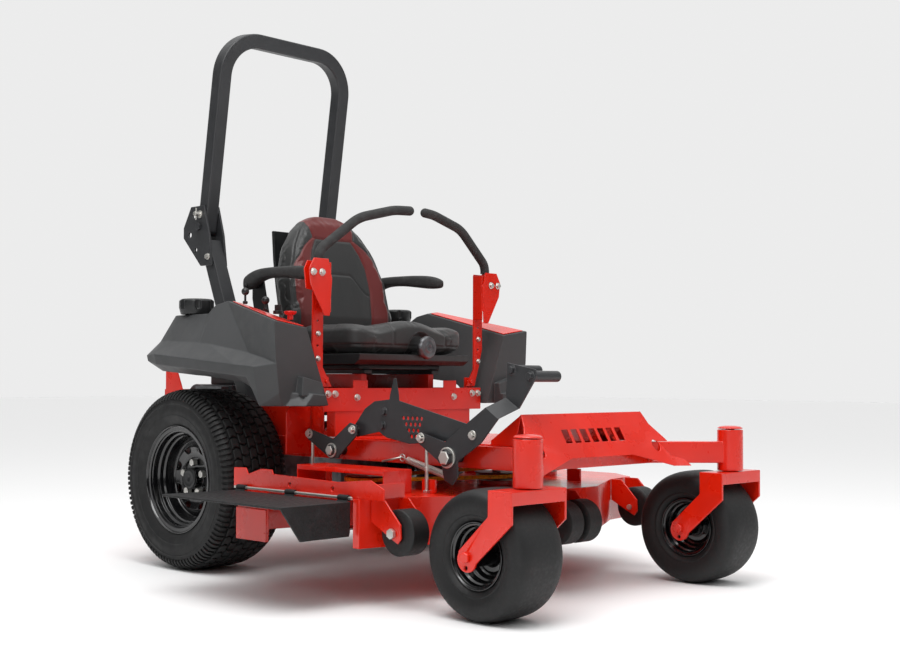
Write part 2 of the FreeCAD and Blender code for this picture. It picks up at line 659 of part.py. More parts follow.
def roll_bar():
    tube_half = D.rops_tube / 2
    x, hinge_y, hinge_z = D.rops_x, D.rops_pivot_y, D.rops_pivot_z
    gap = D.working_gap
    lean_back = 0.42
    head_z = hinge_z - 46
    base_y, head_y = hinge_y - 16 - (head_z - RAIL_TOP) * lean_back, hinge_y - 16
    along = 1.085 * tube_half
    near, far = x - tube_half - gap, x + tube_half + gap

    def leg(reach):
        return [(base_y - reach, RAIL_TOP), (base_y + reach, RAIL_TOP), (head_y + reach, head_z),
                (head_y - reach, head_z)]

    wall = D.rops_wall
    upright = cut(prism("x", near, far, leg(along)),
                  prism("x", near + wall, far - wall, leg(along - wall)))
    pin_y, pin_z = hinge_y - 7, hinge_z + 42
    outline = [(hinge_y - 72, hinge_z - 135), (hinge_y - 8, hinge_z - 135), (hinge_y + 93, hinge_z - 33),
               (hinge_y + 93, hinge_z + 2), (hinge_y + 50, hinge_z + 72), (hinge_y - 24, hinge_z + 72),
               (hinge_y - 56, hinge_z - 30)]
    spare = [(hinge_y + 55, hinge_z - 25, 9), (hinge_y + 32, hinge_z + 40, 9), (hinge_y + 20, hinge_z - 78, 7)]
    pivot_hole = (hinge_y, hinge_z, D.rops_pin_radius)
    lock_hole = (pin_y, pin_z, D.rops_pin_radius + D.running_gap)
    plates = [prism("x", far, far + D.rops_plate, outline, [pivot_hole, lock_hole, *spare]),
              prism("x", near - D.rops_plate, near, outline, [pivot_hole, lock_hole, *spare])]
    pivot = fuse(rod("x", D.rops_pin_radius, near - D.rops_plate - 4, far + D.rops_plate + 4, hinge_y, hinge_z),
                 hexagon("x", 14, far + D.rops_plate, far + D.rops_plate + 10, hinge_y, hinge_z),
                 hexagon("x", 14, near - D.rops_plate - 10, near - D.rops_plate, hinge_y, hinge_z))
    node("rops_uprights", *both(upright, *plates, pivot))

    pin = fuse(rod("x", D.rops_pin_radius, far + 0.3, far + D.rops_plate + 26, pin_y, pin_z),
               rod("x", 13, far + D.rops_plate + 0.5, far + D.rops_plate + 6, pin_y, pin_z),
               rod("z", 2.5, pin_z - 20, pin_z + 20, far + D.rops_plate + 19, pin_y))
    node_pair("rops_lock_pin", pin)

    body = doc.addObject("PartDesign::Body", "Hoop")
    path = new_sketch(body, "XZ_Plane")
    bend, foot_z = D.rops_bend, size(-28)
    top = (D.rops_top - hinge_z) / Size(math.cos(math.radians(D.rops_lean.number)),
                                        f"cos({D.rops_lean.text})") - tube_half
    shoulder, straight = top - bend, x - bend
    corner = size(bend)
    lines = [((-x, foot_z), (-x, shoulder)), ((-straight, top), (straight, top)), ((x, shoulder), (x, foot_z))]
    names = []
    for start, end in lines:
        a, b = (V(size(u).number, size(v).number, 0) for u, v in (start, end))
        line = path.addGeometry(Part.LineSegment(a, b), False)
        pin_down(path, line, 1, *start)
        pin_down(path, line, 2, *end)
        names.append(line)
    for middle, start_angle, end_angle, first, last in ((-straight, 90, 180, (0, 2), (1, 1)),
                                                        (straight, 0, 90, (2, 1), (1, 2))):
        centre = V(size(middle).number, shoulder.number, 0)
        circle = Part.Circle(centre, V(0, 0, 1), corner.number)
        arc = path.addGeometry(Part.ArcOfCircle(circle, math.radians(start_angle), math.radians(end_angle)), False)
        arc_first, arc_last = (2, 1) if start_angle == 90 else (1, 2)
        path.addConstraint(Sketcher.Constraint("Coincident", arc, arc_first, names[first[0]], first[1]))
        path.addConstraint(Sketcher.Constraint("Coincident", arc, arc_last, names[last[0]], last[1]))
        index = path.addConstraint(Sketcher.Constraint("Radius", arc, corner.number))
        bind(path, f"Constraints[{index}]", corner)
    section = new_sketch(body, "XY_Plane", foot_z)
    for reach in (tube_half, tube_half - wall):
        draw_outline(section, [(-x - reach, -reach), (-x + reach, -reach), (-x + reach, reach), (-x - reach, reach)])
    doc.recompute()
    sweep = body.newObject("PartDesign::AdditivePipe", "Sweep")
    sweep.Profile = section
    sweep.Spine = (path, [])
    body.Placement = FreeCAD.Placement(V(), FreeCAD.Rotation(V(1, 0, 0), D.rops_lean.number))
    bind(body, "Placement.Rotation.Angle", D.rops_lean)
    place(body, 0, hinge_y, hinge_z)
    pivot_void = [rod("x", D.rops_pin_radius + D.running_gap, low, low + 80, hinge_y, hinge_z)
                  for low in (x - 40, -x - 40)]
    lock_void = [rod("x", D.rops_pin_radius + 1, low, low + 80, pin_y, pin_z) for low in (x - 40, -x - 40)]
    node("rops_hoop", cut(body, *pivot_void, *lock_void))


# --------------------------------------------------------------------------------------- power unit

def power_unit():
    deck = RAIL_TOP + 5
    crankcase = box((-130, 130), (110, 380), (deck, deck + 150))
    sump = box((-160, 160), (90, 384), (deck, deck + 22))
    cylinders = []
    for side in (-1, 1):
        for fin in range(9):
            start = 131 + fin * 11
            low, high = sorted((side * start, side * (start + 5)))
            cylinders.append(box((low, high), (160, 330), (deck + 40, deck + 150)))
        low, high = sorted((side * 125, side * 236))
        cylinders.append(box((low, high), (190, 300), (deck + 62, deck + 130)))
        low, high = sorted((side * 230, side * 262))
        cylinders.append(box((low, high), (170, 320), (deck + 46, deck + 146)))
    block = fuse(sump, crankcase, *cylinders)

    shroud = fuse(prism("z", deck + 150.5, deck + 215,
                        [(-175, 150), (-110, 85), (110, 85), (175, 150), (175, 350), (110, 400), (-110, 400),
                         (-175, 350)]),
                  rod("z", 138, deck + 215, deck + 262, 0, 240), rod("z", 108, deck + 262, deck + 282, 0, 240))
    canister = fuse(rod("x", 62, -150, 40, 402, deck + 285), box((-120, 0), (380, 404), (deck + 200, deck + 285)))
    node("engine_shroud", fuse(shroud, canister))

    silencer = fuse(rod("x", 54, -170, 170, 442, deck + 98), rod("z", 16, deck + 20, deck + 60, 120, 442))
    node("engine_block", block, silencer)

    axle_z = D.rear_tyre_radius
    bore = D.axle_radius + D.running_gap
    shoulder = RAIL_BOTTOM - 45.7
    case = fuse(prism("x", 70, D.rail_x - 12, [(-70, axle_z - 60), (-40, axle_z - 80), (60, axle_z - 80),
                                               (110, axle_z - 40), (110, shoulder), (70, RAIL_BOTTOM),
                                               (-70, RAIL_BOTTOM)]),
                rod("x", D.axle_housing_radius, D.rail_x - 14, D.rail_x + 16, 0, axle_z),
                rod("z", 34, axle_z - 118, axle_z - 60, 150, 20))
    case = cut(case, rod("x", bore, 185, D.rail_x + 20, 0, axle_z))
    pulley = tube("z", 58, 8, axle_z - 140, axle_z - 120, 150, 20)
    node("transaxles", *both(case, pulley))


# -------------------------------------------------------------------------------------------- tanks

def hump_z(x, y):
    """The height of the flat slope that carries the controls, in front of the filler plateau."""
    return 0.1475 * x + 0.253 * y + D.tank_plateau + 4.75


def skinned(rings):
    """A closed solid of flat facets from each ring of corners to the next, with both end rings filled."""
    rings = [[V(*(size(value).number for value in corner)) for corner in ring] for ring in rings]
    facets = []
    for ring, following in zip(rings, rings[1:]):
        for i, corner in enumerate(ring):
            j = (i + 1) % len(ring)
            facets += [(corner, ring[j], following[j]), (corner, following[j], following[i])]
    for ring in (rings[0], rings[-1]):
        centre = sum(ring, V()) * (1 / len(ring))
        facets += [(corner, after, centre) for corner, after in zip(ring, ring[1:] + ring[:1])]
    faces = [Part.Face(Part.makePolygon([*facet, facet[0]])) for facet in facets]
    solid = Part.Solid(Part.Shell(faces)).removeSplitter()
    if solid.Volume < 0:
        solid.reverse()
    part = doc.addObject("Part::Feature", "Faceted")
    part.Shape = solid
    return part


def tanks():
    inner, outer, plateau = D.riser_half + 2, D.tank_outer, D.tank_plateau
    rings = [
        # each ring runs: inner foot, inner top, outer top, upper crease, widest edge, lower edge, underside
        [(inner + 8, 118, 650), (400, 118, plateau), (485, 118, plateau), (outer - 58, 138, 717),
         (outer - 14, 150, 672), (outer - 17, 148, 655), (outer - 43, 130, 642)],
        [(inner, 95, 622), (400, 95, plateau), (486, 95, plateau), (outer - 51, 85, 719), (outer, 87, 675),
         (outer - 3, 78, 643), (outer - 38, 92, 622)],
        [(inner, -64, 613), (400, -64, plateau), (490, -64, plateau), (outer - 47, -64, 712), (outer, -64, 663),
         (outer - 3, -64, 632), (outer - 38, -64, 611)],
        [(inner, -91, 611), (410, -91, plateau + 21), (481, -91, plateau + 27), (outer - 47, -91, 710),
         (outer, -91, 661), (outer - 3, -91, 630), (outer - 38, -91, 609)],
        [(inner, -137, 608), (420, -137, hump_z(420, -137)), (467, -137, hump_z(467, -137)),
         (outer - 48, -137, 706), (outer, -137, 657), (outer - 3, -137, 626), (outer - 38, -137, 607)],
        [(inner, -330, 590), (430, -330, hump_z(430, -330)), (520, -330, hump_z(520, -330)),
         (outer - 54, -330, 677), (outer, -330, 641), (outer - 4, -330, 610), (outer - 42, -320, 589)],
        [(inner, -352, 578), (434, -383, hump_z(434, -383)), (534, -383, hump_z(534, -383)),
         (outer - 47, -383, 667), (outer, -395, 637), (outer - 5, -383, 606), (outer - 42, -352, 578)],
        [(inner, -413, 520), (438, -422, hump_z(438, -422)), (545, -422, hump_z(545, -422)),
         (outer - 40, -422, 660), (outer, -422, 634), (outer - 20, -425, 520), (outer - 43, -415, 520)],
        [(inner, -485, 520), (440, -485, hump_z(440, -485)), (562, -485, hump_z(562, -485)), (556, -485, 652),
         (554, -485, 645), (540, -483, 560), (524, -478, 520)]]
    foot = skinned([[(566, -425, 520), (473, -522, 520), (393, -522, 520), (393, -460, 520), (530, -440, 520)],
                    [(553, -432, 563), (443, -522, 556), (393, -522, 552), (393, -460, 552), (520, -440, 563)]])
    step = skinned([[(478, -512, 550), (393, -512, 550), (393, -470, 550), (478, -470, 550)],
                    [(470, -505, 607), (393, -505, 588), (393, -470, 588), (470, -470, 607)]])
    x, y = D.tank_neck_x, D.tank_neck_y
    neck = rod("z", D.tank_neck_radius, plateau - 30, plateau + 14, x, y)
    arch_inner = D.rear_wheel_x - D.rear_tyre_width / 2 - 10
    arch = rod("x", D.rear_tyre_radius + 20, arch_inner, outer + 20, 0, D.rear_tyre_radius)
    tank = cut(fuse(skinned(rings), foot, step, neck), arch,
               rod("z", D.tank_neck_radius - 5, plateau - 60, plateau + 15, x, y))
    node_pair("fender_tank", tank)

    inner = D.tank_neck_radius + D.working_gap
    skirt = turned("z", [(plateau + 2, inner), (plateau + 2, 50), (plateau + 24, 56), (plateau + 46, 56),
                         (plateau + 52, 48), (plateau + 52, 0), (plateau + 15, 0), (plateau + 15, inner)], x, y)
    scallops = [rod("z", 13, plateau + 20, plateau + 60, x + 64 * math.cos(math.radians(60 * step)),
                    y + 64 * math.sin(math.radians(60 * step))) for step in range(6)]
    node_pair("fuel_cap", cut(skirt, *scallops))

    corners = [(426, -150), (458, -150), (546, -478), (446, -478)]
    panel = folded_sheet([[(x, y, hump_z(x, y) + 0.5) for x, y in corners]], (0, 0, 3.5))
    node("side_consoles", *both(panel))
    controls()


def controls():
    """The engine controls on the right console, each standing just clear of its panel."""
    for name, x, y, tall in (("throttle_lever", 452, -205, 26), ("choke_lever", 446, -298, 20)):
        pivot_z = hump_z(x, y) + 12
        node(name, fuse(rod("x", 5, -x - 6, -x + 6, y, pivot_z), rod("z", 3.5, pivot_z, pivot_z + tall, -x, y),
                        ball(12, -x, y, pivot_z + tall + 8)))
    x, y = -455, -368
    base = hump_z(-x, y) + 12
    node("ignition_key", fuse(rod("z", 14, base, base + 10, x, y),
                              box((x - 3, x + 3), (y - 12, y + 12), (base + 10, base + 28))))
    x, y = -466, -440
    base = hump_z(-x, y) + 9
    profile = [(base + 15, 0), (base + 15, 14), (base + 21, 19), (base + 25, 19), (base + 27, 0)]
    node("blade_switch", fuse(rod("z", 9, base, base + 15, x, y), turned("z", profile, x, y)))


# ----------------------------------------------------------------------------------- steering levers

def steering():
    hub_y, hub_z = D.lever_hub_y, D.lever_hub_z
    x, z = D.swing_x, D.swing_z
    run = D.running_gap
    barrel = rod("x", 14, 291, 344, hub_y, hub_z)
    tab = prism("y", hub_y, hub_y + 6, [(x - 18, hub_z), (x + 18, hub_z), (x + 18, z + 14), (x - 18, z + 14)])
    swing_pin = rod("y", D.swing_pin_radius, hub_y - 15, hub_y + 6, x, z)
    base = cut(fuse(barrel, tab, swing_pin), rod("x", D.lever_pin_radius + run, 280, 350, hub_y, hub_z))
    node_pair("lever_base", base)

    strip_y = hub_y - 10
    strip = prism("y", strip_y, strip_y + 6, [(x - 21, z - 16), (x + 20, z - 16), (x + 28, z + 12), (360, z + 40),
                                              (379, z + 110), (379, 872), (337, 872), (337, z + 42)],
                  [(x, z, D.swing_pin_radius + run), (358, 700, 4), (358, 775, 4)])
    bracket_front = prism("y", strip_y - 40, strip_y - 35,
                          [(345, 789), (366, 789), (420, 880), (426, 928), (408, 960), (352, 960), (337, 900)])
    bracket_side = box((337, 342), (strip_y - 35.5, strip_y + 6), (800, 950))
    bracket_back = prism("y", strip_y, strip_y + 5, [(337, 860), (405, 870), (412, 930), (400, 955), (337, 955)])
    stub = rod("z", 11, 858, 957, 372, strip_y - 17)
    heads = [bolt("y", strip_y - 40, bolt_x, 918, -1, 9) for bolt_x in (378, 412)]
    heads += [bolt("y", strip_y, 358, bolt_z, -1, 7) for bolt_z in (661, 736)]
    node_pair("lever_post", fuse(strip, bracket_front, bracket_side, bracket_back, stub), *heads)

    end = (35, -503, 1131)
    grip = bent_bar([(372, strip_y - 17, 958), (372, strip_y - 18, 985), (229, -478, 1095), (89, -489, 1130), end],
                    D.grip_radius, (46, 150, 150))
    node_pair("lever_grip", fuse(grip, ball(D.grip_radius, *end)))


# --------------------------------------------------------------------------------------------- seat

def seat():
    floor = D.platform_height + 16 + D.working_gap
    runners = [box((x - 16, x + 16), (-440, -110), (floor, floor + 14)) for x in (-150, 150)]
    carriage = box((-180, 180), (-430, -120), (floor + 14, floor + 28))
    pan_half = D.backrest_half + 10
    pan = cut(prism("x", -pan_half, pan_half, [(-500, 658), (-480, floor + 28), (-90, floor + 28), (-36, 660),
                                               (-36, 678), (-505, 678)]),
              prism("x", -pan_half + 4, pan_half - 4, [(-494, 658), (-476, floor + 27), (-94, floor + 27),
                                                       (-42, 660), (-42, 674), (-498, 674)]))
    rear_line = [(-44, 684), (-12, 790), (12, 909), (26, 1000), (34, 1100)]
    shell_half, shell_wall = 150, 12
    back_shell = prism("x", -shell_half, shell_half,
                       [(-60, 670), (-60, 676), *((y + 0.6, z) for y, z in rear_line),
                        *((y + shell_wall, z) for y, z in reversed(rear_line)), (-36, 670)])
    pivot_y, pivot_z = D.armrest_pivot_y, D.armrest_pivot_z
    near = D.backrest_half + 3
    ear = prism("x", near, near + 8, [(-62, 678), (-22, 678), (pivot_y + 26, pivot_z - 40),
                                      (pivot_y + 26, pivot_z + 24), (pivot_y - 30, pivot_z + 24), (-62, 800)])
    pin = rod("x", D.armrest_pin_radius, D.backrest_half + 10, D.backrest_half + 62, pivot_y, pivot_z)
    node("seat_base", fuse(*runners, carriage, pan, back_shell, *both(fuse(ear, pin))))

    half = D.cushion_half
    front = -505
    cushion = prism("x", -half, half, [(front, 700), (front + 12, 682), (-168, 682), (-168, 758), (-200, 772),
                                       (-440, 778), (front + 14, 768), (front, 745)])
    node("seat_cushion", cushion)
    back_half = D.backrest_half
    backrest = prism("x", -back_half, back_half,
                     [(-166, 684), *rear_line, (30, 1145), (8, 1165), (-38, 1160), (-78, 1120), (-124, 960),
                      (-166, 780)])
    shape = prism("y", -220, 60, [(-back_half, 684), (back_half, 684), (back_half, 960), (160, 1120),
                                  (110, 1160), (60, 1167), (-60, 1167), (-110, 1160), (-160, 1120),
                                  (-back_half, 960)])
    node("seat_backrest", common(backrest, shape))

    x = back_half + 14
    bore = D.armrest_pin_radius + D.running_gap
    arm = prism("x", x, x + 46, [(pivot_y + 28, pivot_z - 18), (pivot_y + 30, pivot_z - 2),
                                 (pivot_y + 14, pivot_z + 14), (pivot_y - 70, pivot_z + 12), (-96, 930),
                                 (-104, 950), (-120, 956), (-200, 957), (-330, 940), (-353, 925), (-345, 908),
                                 (-200, 893), (pivot_y - 60, pivot_z - 21)])
    node_pair("armrest", cut(arm, rod("x", bore, x - 1, x + 47, pivot_y, pivot_z)))

    knob = turned("y", [(-531, 0), (-531, 30), (-527, 37.5), (-512, 37.5), (-508, 30), (-506, 30), (-506, 0)],
                  30, 700)
    node("weight_knob", knob)


# --------------------------------------------------------------------------------------------- deck

def deck():
    wall, low, high = D.deck_sheet, D.deck_bottom, D.deck_top
    left, right = D.deck_left, -D.deck_right
    middle, spacing = D.spindle_centre_x, D.spindle_spacing
    spindles = [(middle, D.spindle_front_y), (middle + spacing, D.spindle_side_y),
                (middle - spacing, D.spindle_side_y)]
    shaft_hole = D.spindle_radius + D.running_gap
    outline = [(right, -370), (right, -890), (-469, -912), (-215, -1050), (215, -1050), (469, -912), (604, -890),
               (left, -770), (left, -540), (590, -420), (330, -400), (150, -530), (-150, -530), (-330, -400),
               (-520, -370)]
    body = prism("z", low, high, outline)
    doc.recompute()
    pad = body.Tip
    floor_face = min(range(len(pad.Shape.Faces)), key=lambda i: pad.Shape.Faces[i].CenterOfMass.z)
    shell = body.newObject("PartDesign::Thickness", "Shell")
    shell.Base = (pad, [f"Face{floor_face + 1}"])
    bind(shell, "Value", wall)
    shell.Reversed = True
    shell.Join = "Intersection"
    discharge = box((right - 20, right + 20), (-866, -510), (low - 1, high - wall))
    housings = [rod("z", 58, high, high + 14, x, y) for x, y in spindles]
    housings += [rod("z", 34, low + 45, high - wall + 1, x, y) for x, y in spindles]
    bores = [rod("z", shaft_hole, low, high + 30, x, y) for x, y in spindles]
    baffle = box((right, right + wall), (-509, -372), (low - 17, low))
    rear_box = box((right - 6, right), (-508, -370), (low - 17, high - 56))
    body = cut(fuse(cut(body, discharge), *housings, baffle, rear_box), *bores)

    bracket = prism("x", right + 4, right + 9, [(-345, high), (-345, high + 56), (-400, high + 58), (-412, high + 40),
                                      (-470, high + 58), (-520, high + 58), (-525, high + 46), (-800, high + 40),
                                      (-930, high + 52), (-981, high + 30), (-981, high)],
                    [(-600, high + 20, 7), (-780, high + 20, 7)])
    tongue = box((right + 9, -470), (-930, -925), (high, high + 40))
    arm_outline = [(-900, high), (-900, high - 60), (-1000, high - 110), (-1012, high - 96),
                   (-1010, high - 60), (-950, high)]
    arms = [cut(prism("x", x, x + 6, arm_outline, [(-983, 201, D.roller_axle_radius)]),
                box((x - 1, x + 7), (front, -800), (low, high + 1))) for x, front in ((471, -912.5), (560, -897.5))]
    cover_x, cover_y, cover_top = (-470, -360), (-845, -480), high + 66
    cover = [box(cover_x, cover_y, (cover_top - 3, cover_top)),
             box((-470, -467), cover_y, (cover_top - 14, cover_top)),
             box(cover_x, (-845, -842), (high, cover_top)),
             box(cover_x, (-483, -480), (high, cover_top))]
    nose = [prism("x", x, x + 6, [(-1050, high - 5), (-1050, high - 95), (-1118, high - 102), (-1134, high - 84),
                                  (-1118, high - 62), (-1070, high - 5)], [(-1118, 201, D.roller_axle_radius)])
            for x in (84, -90)]
    lugs = [box((320, 328), (y - 26, y + 26), (high, high + 38)) for y in (-878, -440)]
    node("deck_shell", body, bracket, tongue, fuse(*cover), *both(*arms, *lugs), *nose)

    rods = [rod("z", D.rod_radius, high + 6, top, D.rod_x, y) for y, top in ((-878, 432), (-393, 428))]
    collars = [rod("z", 8, high + 62, high + 72, D.rod_x, -878)]
    feet = [box((D.rod_x - 7, D.rod_x + 7), (-885, -871), (high, high + 8)),
            box((D.rod_x - 7, D.rod_x + 7), (-400, -386), (high, high + 8))]
    front_rod = fuse(rods[0], collars[0], feet[0])
    rear_rod = fuse(rods[1], feet[1])
    hinge = rod("y", D.deflector_rod_radius, -872, -366, right - 8, D.deflector_hinge_z)
    axles = [rod("x", D.roller_axle_radius, 465, 568, -983, 201), hexagon("x", 14, 568, 578, -983, 201)]
    side_axle = fuse(axles[0], axles[1])
    nose_axle = rod("x", D.roller_axle_radius, -98, 98, -1118, 201)
    studs = []
    for y in (-375, -560, -690, -940):
        studs.append(fuse(rod("z", 5, high, high + 22, right + 25, y),
                          hexagon("z", 9, high, high + 8, right + 25, y)))
    node("deck_hardware", hinge, nose_axle, *studs, *both(front_rod, rear_rod, side_axle))

    for name, (x, y) in zip(("blade_spindle_centre", "blade_spindle_left", "blade_spindle_right"), spindles):
        height = D.blade_height
        blade = prism("z", height, height + 5,
                      [(x - D.blade_radius, y - 31), (x + D.blade_radius, y - 31), (x + D.blade_radius, y + 31),
                       (x - D.blade_radius, y + 31)])
        blade = common(blade, rod("z", D.blade_radius, height - 5, height + 10, x, y))
        shaft = rod("z", D.spindle_radius, height - 14, high + 52, x, y)
        washer = rod("z", 30, height + 5, high - 90, x, y)
        nut = hexagon("z", 18, height - 14, height, x, y)
        bottom, top = high + 18, high + 38
        rim = D.pulley_radius
        pulley = turned("z", [(bottom, 0), (bottom, rim + 6), (bottom + 4, rim), (top - 4, rim), (top, rim + 6),
                              (top, 0)], x, y)
        node(name, fuse(blade, shaft, washer, nut, pulley))

    belt_low, belt_high = high + 22.5, high + 33.5
    reach = D.pulley_radius + D.working_gap
    triangle = doc.addObject("Sketcher::SketchObject", "BeltCentres")
    draw_outline(triangle, spindles)
    rings = []
    for offset in (reach, reach + D.belt_thickness):
        ring = doc.addObject("Part::Offset2D", "BeltRing")
        ring.Source = triangle
        bind(ring, "Value", offset)
        band = doc.addObject("Part::Extrusion", "BeltBand")
        band.Base = ring
        band.Dir = V(0, 0, 1)
        band.DirMode = "Custom"
        band.Solid = True
        bind(band, "LengthFwd", belt_high - belt_low)
        rings.append(place(band, 0, 0, belt_low))
    node("deck_belt", cut(rings[1], rings[0]))

    bore = D.roller_axle_radius + D.running_gap
    radius = D.roller_radius

    def roller(start, end, y):
        return turned("x", [(start, bore), (start, radius - 14), (start + 8, radius), (end - 8, radius),
                            (end, radius - 14), (end, bore)], y, 201)

    node_pair("deck_roller", roller(484, 556, -983))
    node("deck_roller_centre", fuse(roller(-76, -6, -1118), roller(6, 76, -1118),
                                    tube("x", 18, bore, -8, 8, -1118, 201)))
    deflector()


def deflector():
    x, z, reach = -D.deck_right - 8, D.deflector_hinge_z, -D.deflector_reach
    near = x - 4
    sheet_top = z - 9
    top = prism("z", sheet_top - 6, sheet_top, [(reach, -352), (reach, -868), (near, -868), (near, -372)])
    front = prism("y", -870, -864, [(reach, sheet_top), (reach + 68, 187), (near - 4, 187), (near, 200),
                                    (near, sheet_top)])
    knuckles = [tube("y", 8, D.deflector_rod_radius + D.running_gap, y, y + 40, x, z) for y in (-860, -640, -420)]
    straps = [box((near - 5, near), (y, y + 40), (sheet_top - 3, z - 6)) for y in (-860, -640, -420)]
    node("deflector", fuse(top, front, *knuckles, *straps))


# ---------------------------------------------------------------------------------------- deck lift

def deck_lift():
    x, plate = D.crank_x, D.crank_plate
    near, far = x - plate / 2, x + plate / 2
    front_y, front_z = D.front_crank_y, D.front_crank_z
    rear_y, rear_z = D.rear_crank_y, D.rear_crank_z
    shaft = D.lift_shaft_radius

    def arm(y, z, pin_y, pin_z, wide):
        """A crank arm from its pivot rearward to its rod pin."""
        return [(y - 30, z - 22), (y + 6, z - wide), (pin_y + 10, pin_z - 16), (pin_y + 17, pin_z),
                (pin_y + 8, pin_z + 16), (y + 20, z + wide + 14), (y - 34, z + 26)]

    left_front = prism("x", near, far, arm(front_y, front_z, front_y + 102, front_z + 50, 30))
    lobe = prism("x", near, far, [(front_y - 34, front_z + 10), (front_y + 30, front_z), (front_y + 14, front_z - 62),
                                  (front_y - 16, front_z - 74), (front_y - 36, front_z - 50)])
    pedal_arm = prism("x", near, far, [(front_y - 34, front_z - 10), (front_y + 30, front_z + 30),
                                       (front_y - 70, front_z + 96), (front_y - 136, front_z + 139),
                                       (front_y - 181, front_z + 110), (front_y - 120, front_z + 44)])
    fold_low, fold_high = -x - plate / 2, -282
    jog_top = [(front_y - 136, front_z + 139), (front_y - 181, front_z + 110)]
    jog_end = [(front_y - 150, front_z + 165), (front_y - 195, front_z + 136)]
    jog = folded_sheet([[(fold_low, *jog_top[0]), (fold_low, *jog_top[1]), (fold_high, *jog_end[1]),
                         (fold_high, *jog_end[0])]], (plate.number, 0, 0))
    pad_plate = prism("x", -282, -276, [jog_end[0], jog_end[1], (front_y - 257, front_z + 223),
                                        (front_y - 252, front_z + 240), (front_y - 155, front_z + 258)])
    peg_y, peg_z = front_y - 236, front_z + 222
    pegs = [rod("x", 15, -276, -170, peg_y, peg_z), rod("x", 14, -276, -170, front_y - 172, front_z + 238),
            bolt("x", -282, peg_y, peg_z, -1, 11), bolt("x", -282, front_y - 172, front_z + 238, -1, 11)]
    cross_shaft = rod("x", shaft, -x - 3, x + 3, front_y, front_z)
    pivot_nut = hexagon("x", 24, -x - 20, -near, front_y, front_z)
    link_pins = [rod("x", 8, -x - 12, -near, front_y - 92, front_z + 64),
                 rod("x", 9, -x - 12, -near, front_y + 102, front_z + 50)]
    right_side = [mirrored(part) for part in (left_front, lobe, pedal_arm)]
    node("lift_pedal", fuse(left_front, cross_shaft, *right_side, jog, pad_plate, pivot_nut, *pegs, *link_pins))

    rear_arm = prism("x", near, far, arm(rear_y, rear_z, rear_y + 102, rear_z + 46, 26))
    rear_link = prism("x", -far, -near, [(rear_y - 26, rear_z - 20), (rear_y + 28, rear_z + 12),
                                         (rear_y - 78, rear_z + 84), (rear_y - 110, rear_z + 76),
                                         (rear_y - 108, rear_z + 48)])
    rear_pins = [rod("x", 8, -x - 12, -near, rear_y - 92, rear_z + 64),
                 rod("x", 9, -x - 12, -near, rear_y + 102, rear_z + 46),
                 hexagon("x", 18, -x - 14, -near, rear_y, rear_z)]
    rear_shaft = rod("x", shaft, -x - 3, x + 3, rear_y, rear_z)
    node("rear_crank", fuse(rear_arm, mirrored(rear_arm), rear_link, rear_shaft, *rear_pins))

    front_pin = (front_y - 92, front_z + 64)
    rear_pin = (rear_y - 92, rear_z + 64)
    low_x, high_x = -x + plate / 2 + D.working_gap + 13.5, -x + plate / 2 + D.working_gap + 18.5
    holes = []
    for row in range(4):
        for column in range(4 - row + 1):
            holes.append((front_y + 122 + 18 * column + 7 * row, front_z + 102 - 17 * row, 5.5))
    link_outline = [(front_pin[0] - 26, front_pin[1] - 6), (front_pin[0] + 60, front_pin[1] - 16),
                    (front_y + 170, front_z + 30), (front_y + 262, front_z + 44), (rear_pin[0] - 90, rear_pin[1] - 4),
                    (rear_pin[0] + 4, rear_pin[1] - 22), (rear_pin[0] + 20, rear_pin[1] + 6),
                    (rear_pin[0] - 30, rear_pin[1] + 62), (rear_pin[0] - 70, rear_pin[1] + 84),
                    (rear_pin[0] - 150, rear_pin[1] + 92), (front_y + 110, front_z + 128),
                    (front_pin[0] + 20, front_pin[1] + 24), (front_pin[0] - 20, front_pin[1] + 14)]
    link = prism("x", low_x, high_x, link_outline, holes)
    pointer = prism("x", low_x, low_x + 3, [(-760, 520), (-716, 520), (-722, 556), (-738, 603), (-747, 603),
                                            (-758, 556)])
    link_bolts = [bolt("x", low_x, y, z, -1, 10) for y, z in ((-700, 506), (-694, 466))]
    spacers = [rod("x", 7, -near + 0.3, low_x, *pin) for pin in (front_pin, rear_pin)]
    node("height_plate", fuse(link, pointer, *link_bolts, *spacers))

    spring = bent_bar([(-312, front_y + 186, front_z - 12), (-312, front_y + 16, front_z - 58)], 11, ())
    anchor = bent_bar([(-312, front_y + 187, front_z - 12), (-312, front_y + 300, front_z - 18)], 4, ())
    node("lift_spring", fuse(spring, anchor))


def frame_hardware(bearings):
    front = -D.riser_ahead
    heads = [bolt("y", front, side * x, z, -1, 9) for side in (-1, 1) for x, z in
             ((216, 543), (306, 554), (334, 554))]
    x = D.rops_x + D.rops_tube / 2 + D.working_gap + D.rops_plate
    heads += both(bolt("x", x, D.rops_pivot_y - 50, D.rops_pivot_z - 105, 1, 9))
    node("frame_hardware", *bearings, *heads)


# --------------------------------------------------------------------------------------- write it all

def check_and_export():
    doc.recompute()
    for item in doc.Objects:
        if any(word in state for state in item.State for word in ("Invalid", "Error")):
            raise RuntimeError(f"{item.Label} did not compute: {item.State}")
    os.makedirs("parts", exist_ok=True)
    for name, part in NODES.items():
        if part.Shape.isNull() or not part.Shape.isValid() or not part.Shape.Solids:
            raise RuntimeError(f"{name} has no sound shape")
        part.Shape.exportStep(f"parts/{name}.step")
    print(len(NODES), "sub-parts written")


rear_wheels()
casters()
bearings = frame()
floor_and_shield()
seat_frame()
roll_bar()
power_unit()
tanks()
steering()
seat()
deck()
deck_lift()
frame_hardware(bearings)
check_and_export()
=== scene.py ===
"""Looks of a zero turn mower: paints, rubber, upholstery and a soft studio around its packed frame.

Every piece is placed from the frame's own nodes, in metres: X to the operator's left, Y rearward, Z up.
"""
import json
import math

import bmesh
import bpy
import numpy as np
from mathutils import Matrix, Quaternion, Vector

